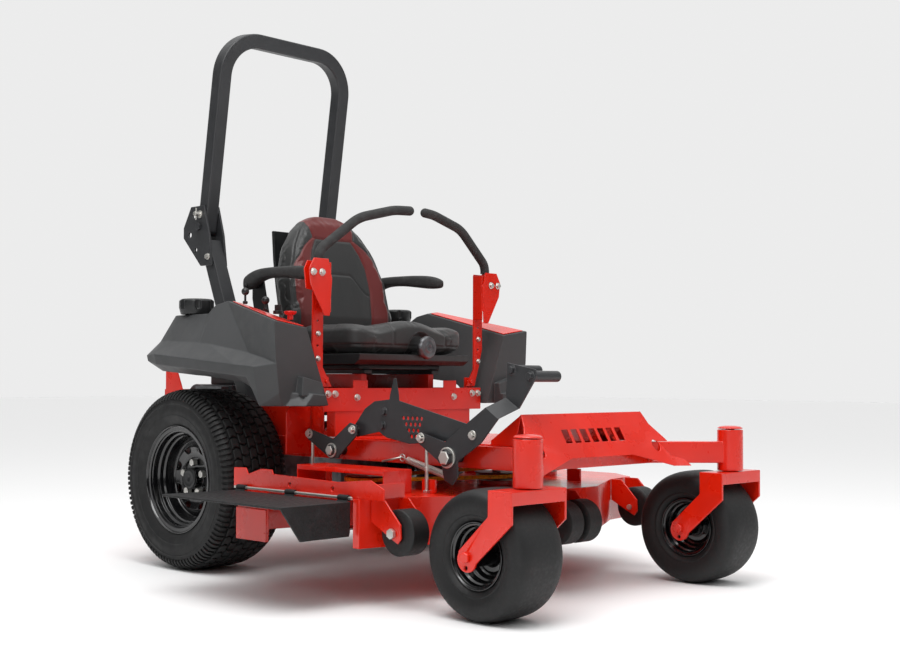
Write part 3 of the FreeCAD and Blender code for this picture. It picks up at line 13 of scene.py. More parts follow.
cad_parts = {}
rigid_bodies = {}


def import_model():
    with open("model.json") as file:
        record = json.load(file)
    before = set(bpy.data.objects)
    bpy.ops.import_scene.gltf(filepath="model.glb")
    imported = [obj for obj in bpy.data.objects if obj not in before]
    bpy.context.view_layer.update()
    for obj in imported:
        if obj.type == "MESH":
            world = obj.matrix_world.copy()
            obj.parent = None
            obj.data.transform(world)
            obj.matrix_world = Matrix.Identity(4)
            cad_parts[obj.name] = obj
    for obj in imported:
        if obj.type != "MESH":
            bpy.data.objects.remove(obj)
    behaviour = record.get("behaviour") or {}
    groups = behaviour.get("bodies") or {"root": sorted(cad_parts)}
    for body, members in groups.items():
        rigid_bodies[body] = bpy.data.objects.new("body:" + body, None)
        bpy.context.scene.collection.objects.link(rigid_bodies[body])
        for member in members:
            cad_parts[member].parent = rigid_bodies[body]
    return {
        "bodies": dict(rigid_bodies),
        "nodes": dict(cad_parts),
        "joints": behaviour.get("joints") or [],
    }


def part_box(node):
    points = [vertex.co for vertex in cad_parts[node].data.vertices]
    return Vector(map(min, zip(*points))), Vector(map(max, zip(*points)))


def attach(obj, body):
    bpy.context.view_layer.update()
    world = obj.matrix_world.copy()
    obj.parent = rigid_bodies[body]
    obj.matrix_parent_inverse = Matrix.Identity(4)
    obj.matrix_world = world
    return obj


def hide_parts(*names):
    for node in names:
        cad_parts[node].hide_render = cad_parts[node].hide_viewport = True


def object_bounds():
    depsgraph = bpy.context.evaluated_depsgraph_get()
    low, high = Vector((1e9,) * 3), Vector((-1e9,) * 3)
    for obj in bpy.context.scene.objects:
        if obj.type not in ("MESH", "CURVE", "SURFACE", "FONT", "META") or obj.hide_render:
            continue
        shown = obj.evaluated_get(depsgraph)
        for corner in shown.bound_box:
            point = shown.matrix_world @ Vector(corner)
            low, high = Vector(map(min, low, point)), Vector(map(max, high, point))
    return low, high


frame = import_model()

bl_info = {
    "name": "Zero Turn Mower Looks",
    "version": (1, 0, 0),
    "blender": (4, 5, 0),
    "location": "View3D > Sidebar > Mower",
    "description": "Builds the visible pieces and finishes of a zero turn mower on its frame",
    "category": "Add Mesh",
}

CAD_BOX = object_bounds()
MM = 0.001
SIDES = (("left", 1), ("right", -1))


# ------------------------------------------------------------------------------- colours and settings

def linear(hex_colour):
    """An sRGB hex colour as linear red, green and blue."""
    channels = [(hex_colour >> shift & 255) / 255 for shift in (16, 8, 0)]
    return tuple(c / 12.92 if c <= 0.04045 else ((c + 0.055) / 1.055) ** 2.4 for c in channels)


def colour(name, description, hex_colour):
    return bpy.props.FloatVectorProperty(name=name, description=description, subtype="COLOR", size=3,
                                         min=0, max=1, default=linear(hex_colour))


def distance(name, description, millimetres):
    return bpy.props.FloatProperty(name=name, description=description, subtype="DISTANCE", unit="LENGTH",
                                   default=millimetres * MM, precision=4)


def count(name, description, number):
    return bpy.props.IntProperty(name=name, description=description, default=number, min=1)


class MowerColours(bpy.types.PropertyGroup):
    """Colours that a user would change."""
    red_paint: colour("Red paint", "Powder coat on the frame, deck and levers", 0xDE1F04)
    charcoal_paint: colour("Charcoal paint", "Textured coat on the roll bar and lift linkage", 0x2A2B2D)
    pod: colour("Pod plastic", "Rotomoulded fender tanks", 0x38393A)
    vinyl: colour("Seat vinyl", "Main upholstery", 0x222323)
    vinyl_red: colour("Red vinyl", "Headrest and side stripes", 0x5E0C09)
    rubber: colour("Tyre rubber", "All four tyres", 0x0B0B0C)
    belt: colour("Belt", "Deck drive belt", 0xE8B21A)


class MowerTyres(bpy.types.PropertyGroup):
    """Tread of the rear tyres."""
    lug_height: distance("Lug height", "How far the tread blocks stand out", 7.5)
    block_rows: count("Block rows", "Rows of zigzag blocks across the tread", 6)
    blocks_round: count("Blocks round", "Blocks in each row", 50)
    bars_round: count("Shoulder bars", "Bars round each shoulder", 100)


class MowerSeat(bpy.types.PropertyGroup):
    """Padding and sewing of the seat."""
    voxel: distance("Remesh size", "Grid of the padded meshes", 5)
    puff: distance("Puff", "Most that a padded point may swell", 9)
    seam_depth: distance("Seam depth", "How far a seam pulls the cover in", 3.2)
    seam_width: distance("Seam width", "Half width of the pulled-in valley", 4.5)


class MowerStudio(bpy.types.PropertyGroup):
    """Camera and light."""
    lens: bpy.props.FloatProperty(name="Lens", description="Focal length", subtype="DISTANCE_CAMERA",
                                  unit="CAMERA", default=52.06)
    key_power: bpy.props.FloatProperty(name="Key light", description="Power of the overhead softbox",
                                       unit="POWER", default=110)
    fill_power: bpy.props.FloatProperty(name="Fill light", description="Power of the side softboxes",
                                        unit="POWER", default=22)
    floor: colour("Floor", "Pale studio floor", 0xF4F4F4)


# ------------------------------------------------------------------------------------------ materials

def add_node(tree, kind, inputs=(), **settings):
    """Add one node; inputs maps a socket's name or number to a value or to another node's output."""
    made = tree.nodes.new(kind)
    for name, value in settings.items():
        setattr(made, name, value)
    for key, value in dict(inputs).items():
        if isinstance(value, bpy.types.NodeSocket):
            tree.links.new(value, made.inputs[key])
        else:
            made.inputs[key].default_value = value
    return made


def per_metre(millimetres):
    """The texture scale whose cells measure this many millimetres."""
    return 1000 / millimetres


class Finish:
    """A material being built: its tree, its shader and the object coordinates that patterns use."""

    def __init__(self, name, base, roughness, **inputs):
        self.material = bpy.data.materials.new(name)
        self.material.use_nodes = True
        self.tree = self.material.node_tree
        self.shader = self.tree.nodes["Principled BSDF"]
        self.base = (*base, 1)
        self.shader.inputs["Base Color"].default_value = self.base
        self.shader.inputs["Roughness"].default_value = roughness
        for key, value in inputs.items():
            self.shader.inputs[key.replace("_", " ").title()].default_value = value
        self.place = add_node(self.tree, "ShaderNodeTexCoord").outputs["Object"]

    def noise(self, millimetres, detail=3.0):
        inputs = {"Vector": self.place, "Scale": per_metre(millimetres), "Detail": detail}
        return add_node(self.tree, "ShaderNodeTexNoise", inputs).outputs["Fac"]

    def cells(self, millimetres, feature="F1"):
        inputs = {"Vector": self.place, "Scale": per_metre(millimetres)}
        return add_node(self.tree, "ShaderNodeTexVoronoi", inputs, feature=feature).outputs["Distance"]

    def range(self, value, low, high, out_low, out_high):
        inputs = {"Value": value, "From Min": low, "From Max": high, "To Min": out_low, "To Max": out_high}
        return add_node(self.tree, "ShaderNodeMapRange", inputs).outputs["Result"]

    def relief(self, height, depth_mm, strength=1.0):
        """Raise the surface by a pattern, on top of any relief that it has already."""
        inputs = {"Height": height, "Distance": depth_mm * MM, "Strength": strength}
        links = self.shader.inputs["Normal"].links
        if links:
            inputs["Normal"] = links[0].from_socket
        bump = add_node(self.tree, "ShaderNodeBump", inputs)
        self.tree.links.new(bump.outputs["Normal"], self.shader.inputs["Normal"])

    def tint(self, factor, other):
        """Blend the base colour towards another where the factor is high."""
        current = self.shader.inputs["Base Color"]
        inputs = {"Factor": factor, "B": (*other, 1)}
        inputs["A"] = current.links[0].from_socket if current.links else self.base
        mix = self.tree.nodes.new("ShaderNodeMix")
        mix.data_type = "RGBA"
        for key, socket in (("Factor", mix.inputs[0]), ("A", mix.inputs[6]), ("B", mix.inputs[7])):
            value = inputs[key]
            if isinstance(value, bpy.types.NodeSocket):
                self.tree.links.new(value, socket)
            else:
                socket.default_value = value
        self.tree.links.new(mix.outputs[2], current)

    def roughen(self, factor, low, high):
        self.tree.links.new(self.range(factor, 0.3, 0.7, low, high), self.shader.inputs["Roughness"])


def shade(base, share):
    """A colour made darker or lighter by a share."""
    return tuple(min(1.0, channel * share) for channel in base)


def red_powder_coat(name):
    """Polyester powder coat over steel: glossy, with the faint orange peel of a cured powder."""
    base = bpy.context.scene.mower_colours.red_paint
    finish = Finish(name, base, 0.3, coat_weight=0.35, coat_roughness=0.12)
    finish.tint(finish.range(finish.noise(180, 2), 0.35, 0.75, 0, 1), shade(base, 0.82))
    finish.relief(finish.noise(2.6, 1), 0.06, 0.5)
    finish.roughen(finish.noise(60), 0.24, 0.36)
    return finish.material


def charcoal_powder_coat(name):
    """Fine-texture powder coat over steel: satin, and sandy to the touch."""
    base = bpy.context.scene.mower_colours.charcoal_paint
    finish = Finish(name, base, 0.42)
    finish.relief(finish.noise(1.6, 2), 0.12, 0.6)
    finish.tint(finish.range(finish.noise(90, 3), 0.4, 0.8, 0, 1), shade(base, 1.35))
    finish.roughen(finish.noise(25), 0.36, 0.5)
    return finish.material


def rotomoulded_polyethylene(name):
    """Rotomoulded polyethylene: matt, with the pebble grain of a blasted mould, drawn a little coarse."""
    base = bpy.context.scene.mower_colours.pod
    finish = Finish(name, base, 0.52)
    finish.relief(finish.cells(2.2), 0.22, 0.45)
    finish.tint(finish.range(finish.noise(240, 3), 0.3, 0.8, 0, 1), shade(base, 1.25))
    finish.roughen(finish.noise(40), 0.46, 0.6)
    return finish.material


def turf_tyre_rubber(name):
    """Vulcanised carbon-black rubber: dull, a little bloomed, with fine mould grain."""
    base = bpy.context.scene.mower_colours.rubber
    finish = Finish(name, base, 0.62)
    finish.relief(finish.noise(1.4, 3), 0.15, 0.5)
    finish.tint(finish.range(finish.noise(45, 4), 0.45, 0.75, 0, 1), linear(0x151515))
    finish.roughen(finish.noise(30), 0.55, 0.74)
    return finish.material


def caster_tyre_rubber(name):
    """Smooth caster rubber, scuffed along the crown where it has turned on concrete."""
    base = bpy.context.scene.mower_colours.rubber
    finish = Finish(name, base, 0.55)
    finish.relief(finish.noise(1.2, 3), 0.12, 0.5)
    finish.tint(finish.range(finish.noise(9, 8), 0.5, 0.8, 0, 1), linear(0x1A1A1A))
    finish.relief(finish.noise(14, 8), 0.5, 0.25)
    finish.roughen(finish.noise(9, 8), 0.5, 0.7)
    return finish.material


def rim_enamel(name):
    """Baked black enamel on pressed steel rims: deep gloss that shows each step as a bright ring."""
    finish = Finish(name, linear(0x0C0C0E), 0.2, coat_weight=0.6, coat_roughness=0.06)
    finish.relief(finish.noise(9, 1), 0.08, 0.35)
    finish.roughen(finish.noise(35), 0.16, 0.28)
    return finish.material


def zinc_plate(name):
    """Bright zinc plating on fasteners and rods: pale metal with faint yellow and blue passivation."""
    finish = Finish(name, linear(0xC9C6BE), 0.3, metallic=1.0)
    finish.tint(finish.range(finish.noise(6, 3), 0.45, 0.7, 0, 1), linear(0xD6C79B))
    finish.roughen(finish.noise(5), 0.22, 0.42)
    return finish.material


def ground_steel(name):
    """Ground spring steel of the blades: bare metal with grinding lines along the bar."""
    finish = Finish(name, linear(0x8E8D8A), 0.36, metallic=1.0)
    stretched = add_node(finish.tree, "ShaderNodeMapping", {"Vector": finish.place, "Scale": (1, 30, 30)})
    finish.place = stretched.outputs["Vector"]
    finish.relief(finish.noise(30, 2), 0.05, 0.5)
    finish.roughen(finish.noise(30), 0.28, 0.46)
    return finish.material


def upholstery(name, base, second=None):
    """Expanded vinyl upholstery with a leather grain; second is sewn in where the panel mark is above 0."""
    finish = Finish(name, base, 0.46, sheen_weight=0.12, sheen_roughness=0.5)
    if second:
        mark = add_node(finish.tree, "ShaderNodeAttribute", attribute_name="panel").outputs["Fac"]
        finish.tint(finish.range(mark, -0.0004, 0.0004, 0, 1), second)
    finish.relief(finish.cells(2.4, "DISTANCE_TO_EDGE"), 0.3, 0.4)
    finish.relief(finish.noise(28, 2), 0.5, 0.25)
    finish.roughen(finish.noise(50), 0.4, 0.55)
    return finish.material


def plain_vinyl(name):
    """Charcoal upholstery vinyl of the cushion."""
    return upholstery(name, bpy.context.scene.mower_colours.vinyl)


def panelled_vinyl(name):
    """Charcoal vinyl with deep red headrest and stripes sewn in."""
    colours = bpy.context.scene.mower_colours
    return upholstery(name, colours.vinyl, colours.vinyl_red)


def nitrile_foam(name):
    """Closed-cell nitrile foam on the grips: very matt, with open pores as fine dimples."""
    finish = Finish(name, linear(0x2B2B2B), 0.82)
    finish.relief(finish.cells(2.0), 0.35, 0.6)
    finish.tint(finish.range(finish.noise(20), 0.4, 0.7, 0, 1), linear(0x383838))
    return finish.material


def moulded_abs(name):
    """Injection-moulded black ABS: satin, with a light spark-eroded texture."""
    finish = Finish(name, linear(0x161718), 0.4)
    finish.relief(finish.noise(1.3, 2), 0.08, 0.5)
    finish.roughen(finish.noise(18), 0.34, 0.48)
    return finish.material


def red_abs(name):
    """Glossy red ABS of the blade switch."""
    finish = Finish(name, linear(0xC81A12), 0.25)
    finish.roughen(finish.noise(12), 0.2, 0.32)
    return finish.material


def belted_rubber(name):
    """Fabric-reinforced rubber sheet of the deflector: black with a coarse cast texture."""
    finish = Finish(name, linear(0x121213), 0.6)
    finish.relief(finish.cells(5.5), 0.8, 0.5)
    finish.tint(finish.range(finish.noise(35, 4), 0.5, 0.7, 0, 1), linear(0x1F1E20))
    finish.roughen(finish.noise(12), 0.5, 0.75)
    return finish.material


def aramid_belt(name):
    """Aramid-jacketed V-belt: a yellow woven wrap."""
    base = bpy.context.scene.mower_colours.belt
    finish = Finish(name, base, 0.75)
    finish.relief(finish.cells(1.8), 0.3, 0.6)
    finish.tint(finish.range(finish.noise(8), 0.45, 0.7, 0, 1), shade(base, 0.55))
    return finish.material


def cast_aluminium(name):
    """Die-cast aluminium of the engine and drives: grey and slightly rough from the die."""
    finish = Finish(name, linear(0x77787A), 0.5, metallic=1.0)
    finish.relief(finish.noise(2.0, 3), 0.2, 0.6)
    finish.tint(finish.range(finish.noise(30), 0.4, 0.7, 0, 1), linear(0x56575A))
    return finish.material


FINISHES = {make.__name__: make for make in (
    red_powder_coat, charcoal_powder_coat, rotomoulded_polyethylene, turf_tyre_rubber, caster_tyre_rubber,
    rim_enamel, zinc_plate, ground_steel, plain_vinyl, panelled_vinyl, nitrile_foam, moulded_abs, red_abs,
    belted_rubber, aramid_belt, cast_aluminium)}


def finish_named(name):
    """The material of that finish, made the first time it is asked for."""
    return bpy.data.materials.get(name) or FINISHES[name](name)


# --------------------------------------------------------------------------------------- mesh helpers

def middle_and_half(node):
    low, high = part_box(node)
    return (low + high) / 2, (high - low) / 2


def add_piece(name, points, faces, body, slot, finishes, stands_for=(), flat=False):
    """A mesh piece that rides on a body and takes the place of CAD nodes."""
    mesh = bpy.data.meshes.new(name)
    mesh.from_pydata([tuple(point) for point in points], [], [tuple(face) for face in faces])
    edit = bmesh.new()
    edit.from_mesh(mesh)
    bmesh.ops.recalc_face_normals(edit, faces=edit.faces)
    edit.to_mesh(mesh)
    edit.free()
    for finish in finishes:
        mesh.materials.append(finish_named(finish))
    mesh.polygons.foreach_set("use_smooth", [not flat] * len(mesh.polygons))
    piece = bpy.data.objects.new(name, mesh)
    bpy.context.scene.collection.objects.link(piece)
    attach(piece, body)
    if stands_for:
        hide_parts(*stands_for)
    return piece


def apply_modifiers(piece):
    """Make what the modifiers show the piece's own mesh."""
    graph = bpy.context.evaluated_depsgraph_get()
    graph.update()
    made = bpy.data.meshes.new_from_object(piece.evaluated_get(graph))
    piece.modifiers.clear()
    piece.data = made
    return piece


def curved(points, steps=5):
    """A smooth run through points: Catmull-Rom spans between them."""
    points = np.array(points, float)
    ends = np.vstack([2 * points[0] - points[1], points, 2 * points[-1] - points[-2]])
    run = []
    for i in range(len(points) - 1):
        before, start, end, after = ends[i:i + 4]
        for t in np.linspace(0, 1, steps, endpoint=False):
            run.append(0.5 * (2 * start + (end - before) * t + (2 * before - 5 * start + 4 * end - after) * t ** 2
                              + (3 * start - before - 3 * end + after) * t ** 3))
    return np.array(run + [points[-1]])


def turn_round_x(profile, centre, side, steps):
    """Turn a closed (along, radius) profile right round an axis along X; side flips it for the right."""
    points, faces = [], []
    profile = np.array(profile, float)
    for step in range(steps):
        angle = 2 * math.pi * step / steps
        for along, radius in profile:
            points.append((centre.x + side * along, centre.y + radius * math.cos(angle),
                           centre.z + radius * math.sin(angle)))
    size = len(profile)
    for step in range(steps):
        here, after = step * size, (step + 1) % steps * size
        for i in range(size):
            j = (i + 1) % size
            faces.append((here + i, here + j, after + j, after + i))
    return points, faces


def merge(*meshes):
    """Several (points, faces) lists as one."""
    points, faces = [], []
    for more_points, more_faces in meshes:
        start = len(points)
        points += list(more_points)
        faces += [tuple(i + start for i in face) for face in more_faces]
    return points, faces


def sweep(section, path, ups, closed_ends=True):
    """Carry a closed 2-D section along a path; ups gives the section's second axis at each point."""
    points, faces = [], []
    path = [Vector(p) for p in path]
    for i, here in enumerate(path):
        ahead = (path[min(i + 1, len(path) - 1)] - path[max(i - 1, 0)]).normalized()
        up = Vector(ups[i]) if not isinstance(ups, Vector) else ups
        side = ahead.cross(up).normalized()
        up = side.cross(ahead)
        points += [here + side * u + up * v for u, v in section]
    size = len(section)
    for i in range(len(path) - 1):
        for j in range(size):
            k = (j + 1) % size
            faces.append((i * size + j, i * size + k, (i + 1) * size + k, (i + 1) * size + j))
    if closed_ends:
        faces.append(tuple(range(size)))
        faces.append(tuple(range((len(path) - 1) * size, len(path) * size)))
    return points, faces


def circle_section(radius, sides):
    return [(radius * math.cos(2 * math.pi * i / sides), radius * math.sin(2 * math.pi * i / sides))
            for i in range(sides)]


# ------------------------------------------------------------------------------------------- CAD nodes

# Finish and edge radius in millimetres of each CAD node that shows as it is
NODE_FINISHES = {
    "frame_rails": ("red_powder_coat", 2.5),
    "frame_crossmembers": ("red_powder_coat", 1.5),
    "floor_pan": ("red_powder_coat", 1.0),
    "front_shield": ("red_powder_coat", 1.2),
    "seat_riser": ("red_powder_coat", 1.4),
    "side_consoles": ("red_powder_coat", 1.5),
    "caster_fork_left": ("red_powder_coat", 2.2),
    "caster_fork_right": ("red_powder_coat", 2.2),
    "lever_base_left": ("red_powder_coat", 1.2),
    "lever_base_right": ("red_powder_coat", 1.2),
    "lever_post_left": ("red_powder_coat", 1.4),
    "lever_post_right": ("red_powder_coat", 1.4),
    "deck_shell": ("red_powder_coat", 1.5),
    "rops_uprights": ("charcoal_powder_coat", 1.8),
    "lift_pedal": ("charcoal_powder_coat", 1.4),
    "height_plate": ("charcoal_powder_coat", 1.2),
    "rear_crank": ("charcoal_powder_coat", 1.4),
    "rear_hub_left": ("rim_enamel", 1.5),
    "rear_hub_right": ("rim_enamel", 1.5),
    "frame_hardware": ("zinc_plate", 0.8),
    "deck_hardware": ("zinc_plate", 0.8),
    "rops_lock_pin_left": ("zinc_plate", 0.8),
    "rops_lock_pin_right": ("zinc_plate", 0.8),
    "blade_spindle_centre": ("ground_steel", 1.0),
    "blade_spindle_left": ("ground_steel", 1.0),
    "blade_spindle_right": ("ground_steel", 1.0),
    "transaxles": ("cast_aluminium", 3.0),
    "engine_block": ("cast_aluminium", 1.2),
    "engine_shroud": ("moulded_abs", 6.0),
    "seat_base": ("moulded_abs", 2.5),
    "throttle_lever": ("moulded_abs", 0),
    "choke_lever": ("moulded_abs", 0),
    "ignition_key": ("moulded_abs", 0.8),
    "blade_switch": ("red_abs", 0.6),
    "fuel_cap_left": ("moulded_abs", 2.5),
    "fuel_cap_right": ("moulded_abs", 2.5),
    "lever_grip_left": ("nitrile_foam", 0),
    "lever_grip_right": ("nitrile_foam", 0),
    "deflector": ("belted_rubber", 1.4),
    "deck_belt": ("aramid_belt", 0),
    "deck_roller_left": ("caster_tyre_rubber", 2.0),
    "deck_roller_right": ("caster_tyre_rubber", 2.0),
    "deck_roller_centre": ("caster_tyre_rubber", 2.0),
    "fender_tank_left": ("rotomoulded_polyethylene", 3.0),
    "fender_tank_right": ("rotomoulded_polyethylene", 3.0),
}
PODS, POD_CREASE = ("fender_tank_left", "fender_tank_right"), 10


def soften_edges(piece, radius_mm, crease=32, steps=2):
    """Round a CAD node's edges sharper than crease degrees with modifiers, which leave its own mesh as it is."""
    weld = piece.modifiers.new("Weld", "WELD")
    weld.merge_threshold = 0.02 * MM
    if radius_mm:
        flatten = piece.modifiers.new("Flatten", "DECIMATE")
        flatten.decimate_type = "DISSOLVE"
        flatten.angle_limit = math.radians(1)
        bevel = piece.modifiers.new("Edges", "BEVEL")
        bevel.width = radius_mm * MM
        bevel.segments = steps
        bevel.limit_method = "ANGLE"
        bevel.angle_limit = math.radians(crease)
        bevel.use_clamp_overlap = False
        bevel.miter_outer = "MITER_ARC"
    normals = piece.modifiers.new("Normals", "WEIGHTED_NORMAL")
    normals.keep_sharp = False


def plate_fasteners(piece, largest_mm, finish):
    """Give a CAD node's small separate solids, which are its bolts and pins, a plated finish."""
    mesh = piece.data
    where = np.round(np.array([vertex.co for vertex in mesh.vertices]) * 1e5).astype(int)
    _, spot = np.unique(where, axis=0, return_inverse=True)
    parent = list(range(spot.max() + 1))

    def root(i):
        while parent[i] != i:
            parent[i] = parent[parent[i]]
            i = parent[i]
        return i

    spot = spot.ravel().tolist()
    for polygon in mesh.polygons:
        first, *rest = (root(spot[i]) for i in polygon.vertices)
        for other in rest:
            parent[root(other)] = root(first)
    groups = {}
    for polygon in mesh.polygons:
        groups.setdefault(root(spot[polygon.vertices[0]]), []).append(polygon)
    piece.data.materials.append(finish_named(finish))
    plated = len(piece.data.materials) - 1
    for polygons in groups.values():
        corners = where[[i for polygon in polygons for i in polygon.vertices]] / 100
        if (corners.max(0) - corners.min(0)).max() < largest_mm:
            for polygon in polygons:
                polygon.material_index = plated


class MOWER_OT_cad_finishes(bpy.types.Operator):
    """Give every CAD node that shows its real finish and softened edges"""
    bl_idname = "mower.cad_finishes"
    bl_label = "Finish the Frame's Own Parts"

    def execute(self, context):
        for name, (finish, radius) in NODE_FINISHES.items():
            piece = frame["nodes"][name]
            piece.data.materials.clear()
            piece.data.materials.append(finish_named(finish))
            soften_edges(piece, radius, POD_CREASE if name in PODS else 32)
        for name in ("lever_post_left", "lever_post_right"):
            plate_fasteners(frame["nodes"][name], 40, "zinc_plate")
        for name in ("rear_hub_left", "rear_hub_right"):
            plate_fasteners(frame["nodes"][name], 40, "zinc_plate")
        return {"FINISHED"}


# ---------------------------------------------------------------------------------------------- tyres

def along_profile(profile):
    """Lengths along a profile, and its outward normals."""
    steps = np.gradient(profile, axis=0)
    lengths = np.concatenate([[0], np.cumsum(np.linalg.norm(np.diff(profile, axis=0), axis=1))])
    normals = np.stack([-steps[:, 1], steps[:, 0]], axis=1)
    normals /= np.linalg.norm(normals, axis=1)[:, None]
    return lengths, normals


def lug_ring(profile, centre, side, start, end, number, fill, height, skew, phase):
    """A ring of tread blocks on a profile, between two lengths along it, each kinked by skew in its middle."""
    lengths, normals = along_profile(profile)
    stations = np.linspace(start, end, 5)
    places = np.stack([np.interp(stations, lengths, profile[:, k]) for k in (0, 1)], axis=1)
    outward = np.stack([np.interp(stations, lengths, normals[:, k]) for k in (0, 1)], axis=1)
    kink = skew * np.array([0, 0.7, 1, 0.7, 0])
    half = fill * math.pi / number
    points, faces = [], []
    for step in range(number):
        base = len(points)
        middle = 2 * math.pi * (step + phase) / number
        for lift, narrow in ((-1.5 * MM, 1.0), (0.75 * height, 0.94), (height, 0.8)):
            for k, (place, out) in enumerate(zip(places, outward)):
                inset = (1 - narrow) * (stations[-1] - stations[0]) * 0.5 * (k == 0) \
                    - (1 - narrow) * (stations[-1] - stations[0]) * 0.5 * (k == 4)
                along = place[0] + out[0] * lift + inset * out[1]
                radius = place[1] + out[1] * lift - inset * out[0]
                for edge in (-1, 1):
                    angle = middle + kink[k] + edge * half * narrow
                    points.append((centre.x + side * along, centre.y + radius * math.cos(angle),
                                   centre.z + radius * math.sin(angle)))
        for level in range(2):
            low, high = base + 10 * level, base + 10 * (level + 1)
            for k in range(4):
                faces.append((low + 2 * k, low + 2 * k + 2, high + 2 * k + 2, high + 2 * k))
                faces.append((low + 2 * k + 1, high + 2 * k + 1, high + 2 * k + 3, low + 2 * k + 3))
            faces.append((low, high, high + 1, low + 1))
            faces.append((low + 8, low + 9, high + 9, high + 8))
        for k in range(4):
            faces.append((base + 20 + 2 * k, base + 22 + 2 * k, base + 23 + 2 * k, base + 21 + 2 * k))
            faces.append((base + 2 * k, base + 1 + 2 * k, base + 3 + 2 * k, base + 2 + 2 * k))
    return points, faces


class MOWER_OT_rear_tyres(bpy.types.Operator):
    """Turf tyres: a ribbed carcass with rows of zigzag blocks and narrow shoulder bars"""
    bl_idname = "mower.rear_tyres"
    bl_label = "Rear Turf Tyres"

    def execute(self, context):
        tread = context.scene.mower_tyres
        lug = tread.lug_height
        for label, side in SIDES:
            centre, half = middle_and_half(f"rear_tyre_{label}")
            wide, radius = half.x, half.z
            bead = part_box(f"rear_rim_{label}")[1].z - centre.z - 17 * MM
            tall = radius - lug - bead
            # From the bead, over ribs on the sidewall, to the middle of the crown: (share across, share up)
            half_outline = [(0.80, 0.0), (0.825, 0.10), (0.90, 0.22), (0.955, 0.36), (0.968, 0.385), (0.966, 0.41),
                            (0.982, 0.52), (0.97, 0.66), (0.985, 0.685), (0.965, 0.72), (0.93, 0.82),
                            (0.86, 0.915), (0.74, 0.965), (0.5, 0.99), (0.25, 0.998), (0, 1)]
            run = curved([(wide * a, bead + tall * u) for a, u in half_outline], 4)
            outside = np.vstack([run, (run * (-1, 1))[::-1][1:]])
            inside = [(-0.70 * wide, bead), (-0.82 * wide, bead + 0.6 * tall), (-0.6 * wide, radius - 26 * MM),
                      (0.6 * wide, radius - 26 * MM), (0.82 * wide, bead + 0.6 * tall), (0.70 * wide, bead)]
            carcass = turn_round_x(np.vstack([outside, inside]), centre, side, 120)
            crown = outside[::-1]
            lengths, _ = along_profile(crown)
            total = lengths[-1]
            flat = 0.70 * wide
            edge = total / 2 - flat
            rings = []
            row = 2 * flat / tread.block_rows
            for k in range(tread.block_rows):
                start = edge + row * k + 1.3 * MM
                rings.append(lug_ring(crown, centre, side, start, start + row - 2.6 * MM, tread.blocks_round,
                                      0.86, lug, (0.02, -0.02)[k % 2], 0.5 * (k % 2)))
            bar = 40 * MM
            for start in (edge - bar - 2 * MM, edge + 2 * flat + 2 * MM):
                rings.append(lug_ring(crown, centre, side, start, start + bar, tread.bars_round, 0.6,
                                      0.72 * lug, 0.008, 0.25))
            body, slot = f"rear_wheel_{label}", "tyre_rubber"
            rubber, stands_for = ["turf_tyre_rubber"], [f"rear_tyre_{label}"]
            add_piece(f"turf_tyre_{label}", *carcass, body, slot, rubber, stands_for)
            add_piece(f"turf_tread_{label}", *merge(*rings), body, slot, rubber, stands_for, flat=True)
        return {"FINISHED"}


class MOWER_OT_front_tyres(bpy.types.Operator):
    """Smooth caster tyres with rounded shoulders and a fine rib beside the rim"""
    bl_idname = "mower.front_tyres"
    bl_label = "Front Caster Tyres"

    def execute(self, context):
        for label, side in SIDES:
            centre, half = middle_and_half(f"front_tyre_{label}")
            wide, radius = half.x, half.z
            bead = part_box(f"front_rim_{label}")[1].z - centre.z - 9 * MM
            tall = radius - bead
            half_outline = [(0.74, 0.0), (0.76, 0.09), (0.86, 0.17), (0.925, 0.25), (0.935, 0.285), (0.93, 0.31),
                            (0.985, 0.46), (1.0, 0.60), (0.975, 0.75), (0.90, 0.87), (0.76, 0.945),
                            (0.56, 0.982), (0.3, 0.996), (0, 1)]
            run = curved([(wide * a, bead + tall * u) for a, u in half_outline], 4)
            outside = np.vstack([run, (run * (-1, 1))[::-1][1:]])
            inside = [(-0.62 * wide, bead), (-0.8 * wide, bead + 0.55 * tall), (0, radius - 18 * MM),
                      (0.8 * wide, bead + 0.55 * tall), (0.62 * wide, bead)]
            add_piece(f"caster_tyre_{label}", *turn_round_x(np.vstack([outside, inside]), centre, side, 128),
                      f"front_wheel_{label}", "tyre_rubber", ["caster_tyre_rubber"], [f"front_tyre_{label}"])
        return {"FINISHED"}


# ----------------------------------------------------------------------------------------------- rims

def cut_vents(piece, centre, side, along, ring_radius, number, across, tall, phase):
    """Cut a ring of rounded vents through a turned disc."""
    points, faces = [], []
    for step in range(number):
        angle = 2 * math.pi * (step + phase) / number
        base = len(points)
        for x in (along - 30 * MM, along + 30 * MM):
            for corner in range(20):
                turn = 2 * math.pi * corner / 20
                u = abs(math.cos(turn)) ** 0.8 * math.copysign(across, math.cos(turn))
                v = abs(math.sin(turn)) ** 0.8 * math.copysign(tall, math.sin(turn))
                radius, shift = ring_radius + v, u * (1 + 0.25 * v / tall)
                points.append((centre.x + side * x,
                               centre.y + radius * math.cos(angle) - shift * math.sin(angle),
                               centre.z + radius * math.sin(angle) + shift * math.cos(angle)))
        faces += [(base + i, base + (i + 1) % 20, base + 20 + (i + 1) % 20, base + 20 + i) for i in range(20)]
        faces += [tuple(base + i for i in range(20)), tuple(base + 20 + i for i in range(20))]
    cutter = add_piece("vent_cutter", points, faces, next(iter(frame["bodies"])), "black_rim_paint",
                       ["rim_enamel"])
    carve = piece.modifiers.new("Vents", "BOOLEAN")
    carve.operation = "DIFFERENCE"
    carve.solver = "EXACT"
    carve.object = cutter
    apply_modifiers(piece)
    bpy.data.objects.remove(cutter)


